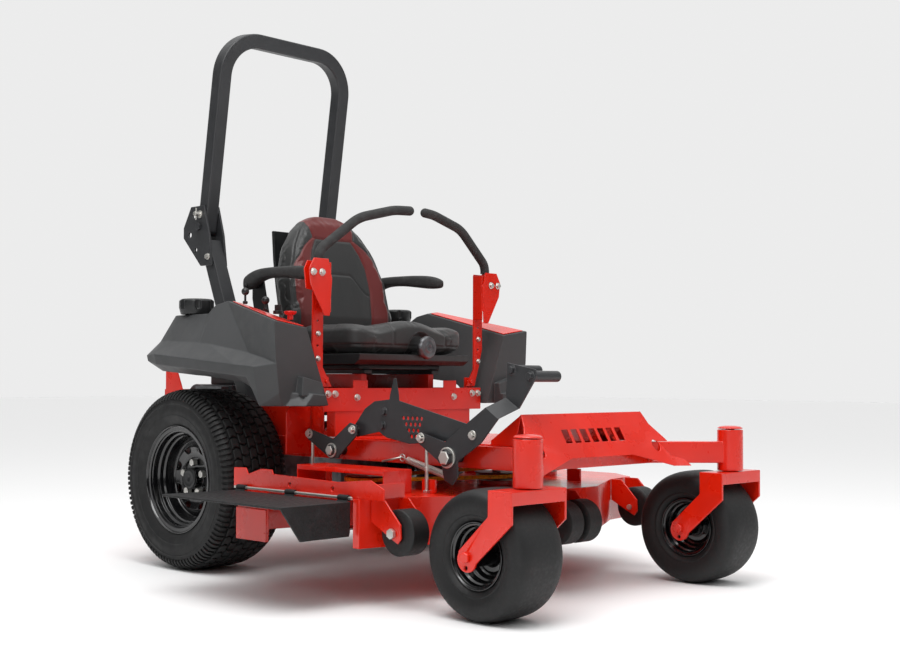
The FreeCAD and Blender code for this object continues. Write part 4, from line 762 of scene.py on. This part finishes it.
def finish_rim(piece, radius_mm):
    """Crisp but rounded rim edges."""
    bevel = piece.modifiers.new("Edges", "BEVEL")
    bevel.width = radius_mm * MM
    bevel.segments = 2
    bevel.limit_method = "ANGLE"
    bevel.angle_limit = math.radians(35)
    bevel.use_clamp_overlap = False
    piece.modifiers.new("Normals", "WEIGHTED_NORMAL")
    apply_modifiers(piece)


class MOWER_OT_rear_rims(bpy.types.Operator):
    """Deep-dish pressed rims with stepped beads, a vented disc and a hub cap"""
    bl_idname = "mower.rear_rims"
    bl_label = "Rear Rims"

    def execute(self, context):
        for label, side in SIDES:
            centre, half = middle_and_half(f"rear_rim_{label}")
            wide, flange = half.x, half.z
            disc = 27 * MM
            front = [(wide, flange), (wide + 1 * MM, flange - 3 * MM), (wide - 3 * MM, flange - 6 * MM),
                     (wide - 8 * MM, flange - 8 * MM), (wide - 11 * MM, flange - 15 * MM),
                     (wide - 13 * MM, flange - 21 * MM), (wide - 30 * MM, flange - 23 * MM),
                     (wide - 34 * MM, flange - 29 * MM), (wide - 46 * MM, flange - 31 * MM),
                     (wide - 50 * MM, flange - 36 * MM), (disc + 22 * MM, flange - 38 * MM),
                     (disc + 6 * MM, flange - 41 * MM), (disc, flange - 47 * MM), (disc + 3 * MM, 112 * MM),
                     (disc + 14 * MM, 104 * MM), (disc + 17 * MM, 98 * MM), (disc + 12 * MM, 86 * MM),
                     (disc + 9.6 * MM, 78 * MM), (disc + 10.2 * MM, 66.5 * MM)]
            back = [(disc + 6 * MM, 66.5 * MM), (disc + 5.5 * MM, 80 * MM), (disc + 10 * MM, 100 * MM),
                    (disc - 3 * MM, 112 * MM), (disc - 6 * MM, flange - 44 * MM), (-wide + 58 * MM, flange - 40 * MM),
                    (-wide + 48 * MM, flange - 22.5 * MM), (-wide + 8 * MM, flange - 21 * MM),
                    (-wide + 2 * MM, flange - 4 * MM), (-wide, flange), (-wide + 6 * MM, flange),
                    (-wide + 8 * MM, flange - 17.2 * MM), (-62 * MM, flange - 17.2 * MM),
                    (-52 * MM, flange - 30 * MM), (50 * MM, flange - 30 * MM),
                    (62 * MM, flange - 17.2 * MM), (wide - 6 * MM, flange - 17.2 * MM), (wide - 5 * MM, flange)]
            rim = add_piece(f"rear_rim_pressing_{label}", *turn_round_x(front + back, centre, side, 96),
                            f"rear_wheel_{label}", "black_rim_paint", ["rim_enamel"], [f"rear_rim_{label}"])
            cut_vents(rim, centre, side, disc + 10 * MM, 92 * MM, 8, 15 * MM, 10 * MM, 0.5)
            finish_rim(rim, 1.2)
            cap_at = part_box(f"rear_hub_{label}")
            face = (cap_at[1].x if side > 0 else cap_at[0].x) - centre.x
            cap = [(abs(face) + d * MM, r * MM) for d, r in
                   ((0.2, 33), (4, 32.5), (6, 30), (6.8, 24), (5.6, 21), (6.2, 12), (6.4, 2), (0.2, 2))]
            add_piece(f"hub_cap_{label}", *turn_round_x(cap, centre, side, 48), f"rear_wheel_{label}",
                      "black_plastic", ["moulded_abs"])
        return {"FINISHED"}


class MOWER_OT_front_rims(bpy.types.Operator):
    """Pressed caster rims with stepped beads and a bearing hub"""
    bl_idname = "mower.front_rims"
    bl_label = "Front Rims"

    def execute(self, context):
        for label, side in SIDES:
            centre, half = middle_and_half(f"front_rim_{label}")
            hub, flange = half.x, half.z
            wide = 72 * MM
            front = [(wide, flange), (wide, flange - 3 * MM), (wide - 4 * MM, flange - 5 * MM),
                     (wide - 6 * MM, flange - 10 * MM), (wide - 20 * MM, flange - 12 * MM),
                     (wide - 24 * MM, flange - 17 * MM), (wide - 44 * MM, flange - 19 * MM),
                     (wide - 48 * MM, flange - 25 * MM), (8 * MM, flange - 28 * MM), (4 * MM, 52 * MM),
                     (12 * MM, 44 * MM), (11 * MM, 33 * MM), (18 * MM, 27 * MM), (hub - 6 * MM, 25 * MM),
                     (hub - 1 * MM, 22 * MM), (hub, 17 * MM), (hub - 2 * MM, 15 * MM), (hub - 2 * MM, 10.5 * MM)]
            back = [(-a + (0 if r < 30 * MM or a > 20 * MM else -6 * MM), r) for a, r in reversed(front)]
            seat = [(-wide + 6 * MM, flange), (-wide + 7 * MM, flange - 9.3 * MM), (wide - 7 * MM, flange - 9.3 * MM),
                    (wide - 6 * MM, flange)]
            rim = add_piece(f"front_rim_pressing_{label}", *turn_round_x(front + back + seat, centre, side, 80),
                            f"front_wheel_{label}", "black_rim_paint", ["rim_enamel"], [f"front_rim_{label}"])
            finish_rim(rim, 1.0)
        return {"FINISHED"}


# ------------------------------------------------------------------------------------------- roll bar

def rounded_square(half, corner, steps=4):
    """A square section with rounded corners."""
    run = []
    for quarter in range(4):
        cx = (half - corner) * (1 if quarter in (0, 3) else -1)
        cy = (half - corner) * (1 if quarter < 2 else -1)
        for step in range(steps + 1):
            angle = math.pi / 2 * (quarter + step / steps)
            run.append((cx + corner * math.cos(angle), cy + corner * math.sin(angle)))
    return run


class MOWER_OT_roll_bar(bpy.types.Operator):
    """The folding hoop, bent from square tube with rounded corners"""
    bl_idname = "mower.roll_bar"
    bl_label = "Roll-over Hoop"

    def execute(self, context):
        low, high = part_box("rops_hoop")
        hinge = next(Vector(j["pos_m"]) for j in frame["joints"] if j["name"] == "rops_fold")
        half = 25 * MM
        middle = (low.x + high.x) / 2
        x = (high.x - low.x) / 2 - half
        lean = math.atan2(hinge.y - low.y - half, high.z - hinge.z)
        rise = (high.z - hinge.z) / math.cos(lean) - half
        foot = -28 * MM
        bend = 135 * MM
        path = [(-x, foot), (-x, foot + 20 * MM), (-x, rise - bend)]
        for step in range(1, 17):
            angle = math.pi - math.pi / 2 * step / 16
            path.append((-x + bend + bend * math.cos(angle), rise - bend + bend * math.sin(angle)))
        path += [(-u, v) for u, v in reversed(path)]
        leaned = [(middle + u, hinge.y - v * math.sin(lean), hinge.z + v * math.cos(lean)) for u, v in path]
        up = Vector((0, math.cos(lean), math.sin(lean)))
        tube = add_piece("roll_bar_hoop", *sweep(rounded_square(half, 7 * MM), leaned, up), "rops_bar",
                         "charcoal_paint", ["charcoal_powder_coat"], ["rops_hoop"])
        tube.modifiers.new("Normals", "WEIGHTED_NORMAL")
        return {"FINISHED"}


# ---------------------------------------------------------------------------------------- lift spring

class MOWER_OT_lift_spring(bpy.types.Operator):
    """The close-wound extension spring of the deck lift, with its hooks"""
    bl_idname = "mower.lift_spring"
    bl_label = "Lift Spring"

    def execute(self, context):
        low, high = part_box("lift_spring")
        radius, wire = 10.5 * MM, 2.2 * MM
        x = (low.x + high.x) / 2
        front = Vector((x, low.y + 12 * MM, low.z + 13 * MM))
        rear = Vector((x, low.y + 178 * MM, high.z - 15 * MM))
        axis = (rear - front).normalized()
        side = Vector((1, 0, 0))
        up = side.cross(axis)
        turns = int((rear - front).length / (2.15 * wire))
        coil = []
        for step in range(turns * 12 + 1):
            share = step / (turns * 12)
            angle = 2 * math.pi * step / 12
            coil.append(front.lerp(rear, share) + (side * math.cos(angle) + up * math.sin(angle)) * (radius - wire / 2))
        wound = sweep(circle_section(wire / 2, 6), coil, Vector((0.02, 0.999, 0.03)))
        end = Vector((x, high.y - 4 * MM, (rear.z * 2 + low.z) / 3 + 8 * MM))
        hook = [rear - axis * 4 * MM, rear + axis * 10 * MM]
        for step in range(9):
            angle = math.pi * (0.9 - 1.8 * step / 8)
            hook.append(rear + axis * (22 * MM - 10 * MM * math.cos(angle)) + up * 10 * MM * math.sin(angle))
        loop = sweep(circle_section(1.4 * MM, 8), [tuple(p) for p in curved(hook, 3)], side)
        rod = sweep(circle_section(3 * MM, 12), [rear + axis * 26 * MM, end], side)
        add_piece("lift_coil_spring", *merge(wound, loop, rod), "chassis", "zinc_plate", ["zinc_plate"],
                  ["lift_spring"])
        return {"FINISHED"}


def hex_bolt(face, radius, height):
    """A washer and a chamfered hexagon head on a face that looks along -X, as (points, faces)."""
    points, faces = [], []
    for sides, steps in ((24, ((0, 1.45), (0.25, 1.45), (0.3, 1.38))), (6, ((0.2, 1.0), (0.9, 1.0), (1.0, 0.86)))):
        base = len(points)
        for along, wide in steps:
            points += [(face.x - along * height, face.y + wide * radius * math.cos(2 * math.pi * k / sides),
                        face.z + wide * radius * math.sin(2 * math.pi * k / sides)) for k in range(sides)]
        for ring in (base, base + sides):
            faces += [(ring + k, ring + (k + 1) % sides, ring + sides + (k + 1) % sides, ring + sides + k)
                      for k in range(sides)]
        faces += [tuple(range(base, base + sides)), tuple(range(base + 2 * sides, base + 3 * sides))]
    return points, faces


class MOWER_OT_linkage_bolts(bpy.types.Operator):
    """The plated nuts over the pins of the deck lift's right side plates"""
    bl_idname = "mower.linkage_bolts"
    bl_label = "Linkage Bolts"

    def execute(self, context):
        pedal_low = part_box("lift_pedal")[0]
        crank_low, crank_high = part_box("rear_crank")
        pivot_z, pin_reach, rod_reach = 0.388, 92 * MM, 102 * MM
        crank_pivot_y = crank_high.y - 119 * MM
        pedal_pivot_y = crank_pivot_y - 476 * MM
        plate_x = pedal_low.x + 17 * MM
        # body, distance behind its pivot, height over its pivot, head radius and head height
        places = [("pedal", pedal_pivot_y, 0, 0, 20, 19), ("pedal", pedal_pivot_y, -pin_reach, 64, 9, 12),
                  ("pedal", pedal_pivot_y, rod_reach, 50, 10, 12), ("crank_rear", crank_pivot_y, 0, 0, 15, 14),
                  ("crank_rear", crank_pivot_y, -pin_reach, 64, 9, 12),
                  ("crank_rear", crank_pivot_y, rod_reach, 46, 10, 12)]
        for number, (body, pivot_y, behind, above, radius, height) in enumerate(places):
            face = Vector((plate_x, pivot_y + behind, pivot_z + above * MM))
            add_piece(f"linkage_nut_{number}", *hex_bolt(face, radius * MM, height * MM), body, "charcoal_paint",
                      ["zinc_plate"], flat=True)
        return {"FINISHED"}


# ----------------------------------------------------------------------------------------------- seat

def pillow(low, high, plan_power, side_power, rings=28, sectors=56):
    """A closed form that fills a box with rounded corners; a smaller power is squarer."""
    centre, half = (low + high) / 2, (high - low) / 2

    def power(value, exponent):
        return math.copysign(abs(value) ** exponent, value)

    points = [(centre.x, centre.y, low.z)]
    for ring in range(1, rings):
        tilt = -math.pi / 2 + math.pi * ring / rings
        for sector in range(sectors):
            turn = 2 * math.pi * sector / sectors
            points.append((centre.x + half.x * power(math.cos(tilt), side_power) * power(math.cos(turn), plan_power),
                           centre.y + half.y * power(math.cos(tilt), side_power) * power(math.sin(turn), plan_power),
                           centre.z + half.z * power(math.sin(tilt), side_power)))
    points.append((centre.x, centre.y, high.z))
    faces = []
    for sector in range(sectors):
        after = (sector + 1) % sectors
        faces.append((0, 1 + after, 1 + sector))
        top = 1 + (rings - 2) * sectors
        faces.append((len(points) - 1, top + sector, top + after))
        for ring in range(rings - 2):
            here, above = 1 + ring * sectors, 1 + (ring + 1) * sectors
            faces.append((here + sector, here + after, above + after, above + sector))
    return points, faces


def coordinates(mesh):
    values = np.zeros(len(mesh.vertices) * 3)
    mesh.vertices.foreach_get("co", values)
    return values.reshape(-1, 3)


def set_coordinates(mesh, values):
    mesh.vertices.foreach_set("co", np.asarray(values, float).ravel())
    mesh.update()


def puff_up(piece, voxel, most, pressure=4.0, frames=20):
    """Stuff a cover: remesh it evenly, blow it up as cloth without gravity, and cap how far it swells."""
    remesh = piece.modifiers.new("Even", "REMESH")
    remesh.mode = "VOXEL"
    remesh.voxel_size = voxel
    apply_modifiers(piece)
    rest = coordinates(piece.data)
    cloth = piece.modifiers.new("Cloth", "CLOTH")
    cloth.settings.use_pressure = True
    cloth.settings.uniform_pressure_force = pressure
    cloth.settings.effector_weights.gravity = 0
    cloth.settings.quality = 5
    cloth.point_cache.frame_end = frames
    for step in range(1, frames + 1):
        bpy.context.scene.frame_set(step)
    graph = bpy.context.evaluated_depsgraph_get()
    swollen = coordinates(piece.evaluated_get(graph).data)
    piece.modifiers.remove(cloth)
    bpy.context.scene.frame_set(1)
    moved = swollen - rest
    length = np.linalg.norm(moved, axis=1, keepdims=True)
    moved *= np.minimum(1, most / np.maximum(length, 1e-9))
    set_coordinates(piece.data, rest + moved)


def refine(piece, levels=1):
    subdivide = piece.modifiers.new("Fine", "SUBSURF")
    subdivide.levels = subdivide.render_levels = levels
    apply_modifiers(piece)
    piece.data.polygons.foreach_set("use_smooth", [True] * len(piece.data.polygons))


def vertex_normals(mesh):
    values = np.zeros(len(mesh.vertices) * 3)
    mesh.vertex_normals.foreach_get("vector", values)
    return values.reshape(-1, 3)


def valley(offset, width):
    """How strongly a seam pulls at this distance from it."""
    return np.exp(-(offset / width) ** 2)


def smooth_step(values, low, high):
    share = np.clip((values - low) / (high - low), 0, 1)
    return share * share * (3 - 2 * share)


class MOWER_OT_seat_cushion(bpy.types.Operator):
    """The cushion: a stuffed cover with a waterfall front, sewn panels and a recess for the knob"""
    bl_idname = "mower.seat_cushion"
    bl_label = "Seat Cushion"

    def execute(self, context):
        sewing = context.scene.mower_seat
        low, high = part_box("seat_cushion")
        inset = Vector((0.6, 0.6, 0.5)) * sewing.puff
        cushion = add_piece("seat_cushion_cover", *pillow(low + inset, high - inset, 0.32, 0.36), "seat",
                            "seat_vinyl", ["plain_vinyl"])
        puff_up(cushion, sewing.voxel, sewing.puff)
        refine(cushion)
        at = coordinates(cushion.data)
        normal = vertex_normals(cushion.data)
        middle = (low + high) / 2
        half = (high - low) / 2
        across = (at[:, 0] - middle.x) / half.x
        deep = (at[:, 1] - low.y) / (high.y - low.y)
        above = smooth_step(at[:, 2], middle.z - 0.2 * half.z, high.z - 0.2 * half.z)
        front = 1 - smooth_step(deep, 0.0, 0.55)
        hump = 9 * MM * np.exp(-(across / 0.3) ** 2) * front
        dip = -17 * MM * np.exp(-((np.abs(across) - 0.56) / 0.25) ** 2)
        dish = -10 * MM * np.exp(-(across / 0.45) ** 2) * (1 - front)
        at[:, 2] += above * (hump + dip + dish)
        knob, knob_half = middle_and_half("weight_knob")
        from_knob = np.hypot(at[:, 0] - knob.x, at[:, 2] - knob.z)
        facing = smooth_step(-normal[:, 1], 0.2, 0.7)
        at[:, 1] += facing * 15 * MM * (1 - smooth_step(from_knob, knob_half.x, knob_half.x + 16 * MM))
        panel = 116 * MM
        side_seam = valley(np.abs(at[:, 0] - knob.x) - panel, sewing.seam_width)
        side_seam *= smooth_step(at[:, 2], low.z + 0.24 * (high.z - low.z), low.z + 0.3 * (high.z - low.z))
        belt_seam = valley(at[:, 2] - (low.z + 0.24 * (high.z - low.z)), sewing.seam_width)
        cross_seam = valley(deep - 0.42 - 0.08 * across ** 2, sewing.seam_width / (high.y - low.y)) * above
        cross_seam *= np.abs(at[:, 0] - knob.x) < panel
        pull = np.clip(side_seam + belt_seam + cross_seam, 0, 1)
        set_coordinates(cushion.data, at - normal * (pull * sewing.seam_depth)[:, None])
        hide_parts("seat_cushion")
        return {"FINISHED"}


def backrest_half_width(z, base, top, half):
    """The backrest narrows in a long curve above its widest part and closes in a rounded head."""
    share = np.clip((z - base) / (top - base), 0, 1)
    wide = np.interp(share, [0, 0.12, 0.45, 0.6, 0.75, 0.87, 0.94, 0.985, 1.0],
                     [0.94, 1.0, 1.0, 0.93, 0.80, 0.64, 0.50, 0.32, 0.16])
    return half * wide


class MOWER_OT_seat_backrest(bpy.types.Operator):
    """The backrest: a stuffed cover with side bolsters, red stripes, a headrest and a lumbar seam"""
    bl_idname = "mower.seat_backrest"
    bl_label = "Seat Backrest"

    def execute(self, context):
        sewing = context.scene.mower_seat
        low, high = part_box("seat_backrest")
        inset = Vector((0.5, 0.5, 0.5)) * sewing.puff
        points, faces = pillow(low + inset, high - inset, 0.34, 0.30, rings=60, sectors=64)
        middle = (low + high) / 2
        half = (high - low) / 2
        shaped = []
        for x, y, z in points:
            share = (z - low.z) / (high.z - low.z)
            narrow = backrest_half_width(z, low.z, high.z, half.x) / half.x
            lean = np.interp(share, [0, 0.25, 0.6, 0.9, 1], [0, 0, 0.3, 0.62, 0.72]) * 2 * half.y
            thick = np.interp(share, [0, 0.3, 0.7, 0.9, 1], [0.52, 0.54, 0.46, 0.36, 0.28])
            across = (x - middle.x) / half.x
            wrap = -0.16 * half.y * abs(across) ** 3
            shaped.append((middle.x + (x - middle.x) * narrow, low.y + thick * (y - low.y) + lean * 0.62 + wrap
                           + 0.1 * half.y, z))
        back = add_piece("seat_backrest_cover", shaped, faces, "seat", "seat_vinyl", ["panelled_vinyl"])
        puff_up(back, sewing.voxel, sewing.puff)
        refine(back)
        at = coordinates(back.data)
        normal = vertex_normals(back.data)
        x = np.abs(at[:, 0] - middle.x)
        up = (at[:, 2] - low.z) / (high.z - low.z)
        facing = smooth_step(-normal[:, 1], 0.1, 0.4)
        stripe_in = np.interp(up, [0, 0.24, 0.45, 0.61, 0.71, 0.78, 0.82], np.array(
            [120, 120, 128, 122, 106, 86, 72]) * MM)
        stripe_out = stripe_in + np.interp(up, [0, 0.3, 0.6, 0.75, 0.83], np.array([78, 76, 68, 38, 8]) * MM)
        head_low = 0.80 + 0.012 * (x / half.x) ** 2
        head_side = 88 * MM + (up - 0.8) * 120 * MM
        tall = high.z - low.z
        stripe = np.minimum(x - stripe_in, stripe_out - x)
        stripe = np.minimum(stripe, (0.81 - up) * tall)
        head = np.minimum((up - head_low) * tall, head_side - x)
        panel = np.maximum(stripe, head)
        panel = np.where(normal[:, 1] < 0.25, panel, -0.02)
        lumbar = 0.555 - 0.14 * smooth_step(x, 45 * MM, 122 * MM)
        lumbar_seam = valley((up - lumbar) * tall, sewing.seam_width) * (x < stripe_in)
        edge = backrest_half_width(at[:, 2], low.z, high.z, half.x) - 26 * MM
        piping = valley(x - edge, sewing.seam_width) * (up > 0.3)
        pull = np.clip(valley(panel, sewing.seam_width) + lumbar_seam + piping, 0, 1) * facing
        cheeks = 9 * MM * smooth_step(x, 70 * MM, 190 * MM) * facing * (1 - smooth_step(up, 0.6, 0.85))
        at[:, 1] -= cheeks
        set_coordinates(back.data, at - normal * (pull * sewing.seam_depth)[:, None])
        mark = back.data.attributes.new("panel", "FLOAT", "POINT")
        mark.data.foreach_set("value", panel.astype(np.float32))
        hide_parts("seat_backrest")
        return {"FINISHED"}


class MOWER_OT_armrests(bpy.types.Operator):
    """Moulded armrest pads with rounded noses"""
    bl_idname = "mower.armrests"
    bl_label = "Armrests"

    def execute(self, context):
        for label, side in SIDES:
            low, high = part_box(f"armrest_{label}")
            middle = (low + high) / 2
            half_wide = (high.x - low.x) / 2
            long = high.y - low.y
            stations = [(0.0, 0.20, 0.55, 0.10), (0.02, 0.62, 0.56, 0.18), (0.07, 0.88, 0.60, 0.25),
                        (0.16, 0.98, 0.66, 0.30), (0.32, 1.0, 0.74, 0.28), (0.5, 1.0, 0.80, 0.24),
                        (0.68, 0.96, 0.80, 0.24), (0.80, 0.90, 0.70, 0.30), (0.90, 0.86, 0.52, 0.36),
                        (0.97, 0.72, 0.42, 0.30), (1.0, 0.35, 0.40, 0.18)]
            path = curved(stations, 3)
            points, faces = [], []
            size = 20
            for share, wide, height, thick in path:
                for k in range(size):
                    angle = 2 * math.pi * k / size
                    u = math.copysign(abs(math.cos(angle)) ** 0.6, math.cos(angle)) * half_wide * wide
                    v = math.copysign(abs(math.sin(angle)) ** 0.7, math.sin(angle)) * thick * (high.z - low.z)
                    points.append((middle.x + u, low.y + long * share, low.z + (high.z - low.z) * height + v))
            for i in range(len(path) - 1):
                for k in range(size):
                    n = (k + 1) % size
                    faces.append((i * size + k, i * size + n, (i + 1) * size + n, (i + 1) * size + k))
            faces += [tuple(range(size)), tuple(range((len(path) - 1) * size, len(path) * size))]
            pad = add_piece(f"armrest_pad_{label}", points, faces, f"armrest_arm_{label}", "black_plastic",
                            ["nitrile_foam"])
            refine(pad)
            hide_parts(f"armrest_{label}")
        return {"FINISHED"}


class MOWER_OT_weight_knob(bpy.types.Operator):
    """The suspension knob: a lobed dial with a bright dished face"""
    bl_idname = "mower.weight_knob"
    bl_label = "Seat Weight Knob"

    def execute(self, context):
        low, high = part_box("weight_knob")
        middle = (low + high) / 2
        radius = (high.x - low.x) / 2
        rings = [(1.0, 0.72, 0), (0.86, 0.94, 1), (0.6, 1.0, 1), (0.3, 0.98, 1), (0.12, 0.88, 0.6), (0.06, 0.76, 0),
                 (0.12, 0.62, 0), (0.16, 0.46, 0), (0.04, 0.40, 0), (0.02, 0.24, 0), (0.10, 0.18, 0), (0.10, 0.02, 0)]
        points, faces = [], []
        steps = 96
        for depth, share, lobed in rings:
            for step in range(steps):
                angle = 2 * math.pi * step / steps
                lobe = 1 - 0.055 * lobed * abs(math.sin(4 * angle)) ** 3
                points.append((middle.x + radius * share * lobe * math.cos(angle),
                               low.y + (high.y - low.y) * depth, middle.z + radius * share * lobe * math.sin(angle)))
        for i in range(len(rings) - 1):
            for step in range(steps):
                n = (step + 1) % steps
                faces.append((i * steps + step, i * steps + n, (i + 1) * steps + n, (i + 1) * steps + step))
        faces += [tuple(range(steps)), tuple(range((len(rings) - 1) * steps, len(rings) * steps))]
        add_piece("weight_dial", points, faces, "seat_knob", "black_plastic", ["cast_aluminium"], ["weight_knob"])
        return {"FINISHED"}


# --------------------------------------------------------------------------------------------- studio

def softbox(name, place, aim, size, power):
    light = bpy.data.lights.new(name, "AREA")
    light.shape = "RECTANGLE"
    light.size, light.size_y = size
    light.energy = power
    lamp = bpy.data.objects.new(name, light)
    lamp.location = place
    lamp.rotation_mode = "QUATERNION"
    lamp.rotation_quaternion = (Vector(aim) - Vector(place)).to_track_quat("-Z", "Y")
    bpy.context.scene.collection.objects.link(lamp)


class MOWER_OT_studio(bpy.types.Operator):
    """Pale floor, soft light and the camera at the right front corner, low and level"""
    bl_idname = "mower.studio"
    bl_label = "Studio"

    def execute(self, context):
        scene = context.scene
        studio = scene.mower_studio
        mesh = bpy.data.meshes.new("studio_floor")
        reach = 30
        mesh.from_pydata([(-reach, -reach, 0), (reach, -reach, 0), (reach, reach, 0), (-reach, reach, 0)], [],
                         [(0, 1, 2, 3)])
        floor = bpy.data.objects.new("studio_floor", mesh)
        scene.collection.objects.link(floor)
        paint = Finish("studio_paper", studio.floor, 0.9)
        mesh.materials.append(paint.material)

        world = bpy.data.worlds.new("Studio")
        world.use_nodes = True
        background = world.node_tree.nodes["Background"]
        background.inputs["Color"].default_value = (1, 1, 1, 1)
        # A white wall behind the machine and a bright ceiling, with a dim room in front of it
        heading = add_node(world.node_tree, "ShaderNodeTexCoord").outputs["Generated"]
        strengths = []
        for toward, start, end, dim, bright in (((0.71, 0.71, 0), 0.3, 0.6, 0.04, 0.84),
                                                ((0, 0, 1), 0.4, 0.95, 0.04, 1.5)):
            facing = add_node(world.node_tree, "ShaderNodeVectorMath", {0: heading, 1: toward},
                              operation="DOT_PRODUCT").outputs["Value"]
            strengths.append(add_node(world.node_tree, "ShaderNodeMapRange",
                                      {"Value": facing, "From Min": start, "From Max": end, "To Min": dim,
                                       "To Max": bright}, interpolation_type="SMOOTHSTEP").outputs["Result"])
        brighter = add_node(world.node_tree, "ShaderNodeMath", dict(enumerate(strengths)), operation="MAXIMUM")
        world.node_tree.links.new(brighter.outputs["Value"], background.inputs["Strength"])
        scene.world = world
        scene.view_settings.view_transform = "Standard"

        middle = (CAD_BOX[0] + CAD_BOX[1]) / 2
        softbox("key_light", middle + Vector((-1.6, -1.2, 3.2)), middle, (2.6, 2.6), studio.key_power)
        softbox("front_fill", middle + Vector((-4.2, -2.0, 1.2)), middle, (2.0, 1.6), studio.fill_power)
        softbox("right_fill", middle + Vector((2.4, -4.2, 1.6)), middle, (1.6, 2.2), studio.fill_power)

        lens = bpy.data.cameras.new("Camera")
        lens.lens = studio.lens
        lens.sensor_width = 36
        lens.shift_x = 0.0424
        lens.shift_y = 0.0139
        lens.clip_start = 0.05
        camera = bpy.data.objects.new("Camera", lens)
        # The eye stands off the front right corner of the CAD box, a little above the wheels
        camera.location = (-2.8393, -2.9668, 0.606)
        azimuth, elevation, roll = (math.radians(angle) for angle in (-44.87, -1.75, 0.26))
        back = Vector((math.sin(azimuth) * math.cos(elevation), -math.cos(azimuth) * math.cos(elevation),
                       math.sin(elevation)))
        camera.rotation_mode = "QUATERNION"
        camera.rotation_quaternion = (-back).to_track_quat("-Z", "Y") @ Quaternion((0, 0, 1), roll)
        scene.collection.objects.link(camera)
        scene.camera = camera
        return {"FINISHED"}


# ------------------------------------------------------------------------------------ panel and start

SETTINGS = {"mower_colours": MowerColours, "mower_tyres": MowerTyres, "mower_seat": MowerSeat,
            "mower_studio": MowerStudio}
OPERATORS = (MOWER_OT_studio, MOWER_OT_cad_finishes, MOWER_OT_rear_tyres, MOWER_OT_rear_rims,
             MOWER_OT_front_tyres, MOWER_OT_front_rims, MOWER_OT_roll_bar, MOWER_OT_lift_spring, MOWER_OT_linkage_bolts,
             MOWER_OT_seat_cushion, MOWER_OT_seat_backrest, MOWER_OT_armrests, MOWER_OT_weight_knob)


class MOWER_PT_panel(bpy.types.Panel):
    """Lists the mower's settings and pieces"""
    bl_idname = "MOWER_PT_panel"
    bl_label = "Zero Turn Mower"
    bl_space_type = "VIEW_3D"
    bl_region_type = "UI"
    bl_category = "Mower"

    def draw(self, context):
        for name, group in SETTINGS.items():
            column = self.layout.column(align=True)
            column.label(text=group.__doc__)
            for field in group.__annotations__:
                column.prop(getattr(context.scene, name), field)
        for operator in OPERATORS:
            self.layout.operator(operator.bl_idname)


CLASSES = (*SETTINGS.values(), *OPERATORS, MOWER_PT_panel)


def register():
    for made in CLASSES:
        bpy.utils.register_class(made)
    for name, group in SETTINGS.items():
        setattr(bpy.types.Scene, name, bpy.props.PointerProperty(type=group))


def unregister():
    for name in SETTINGS:
        delattr(bpy.types.Scene, name)
    for made in reversed(CLASSES):
        bpy.utils.unregister_class(made)


def main():
    register()
    for operator in OPERATORS:
        family, name = operator.bl_idname.split(".")
        getattr(getattr(bpy.ops, family), name)()


if __name__ == "__main__":
    main()
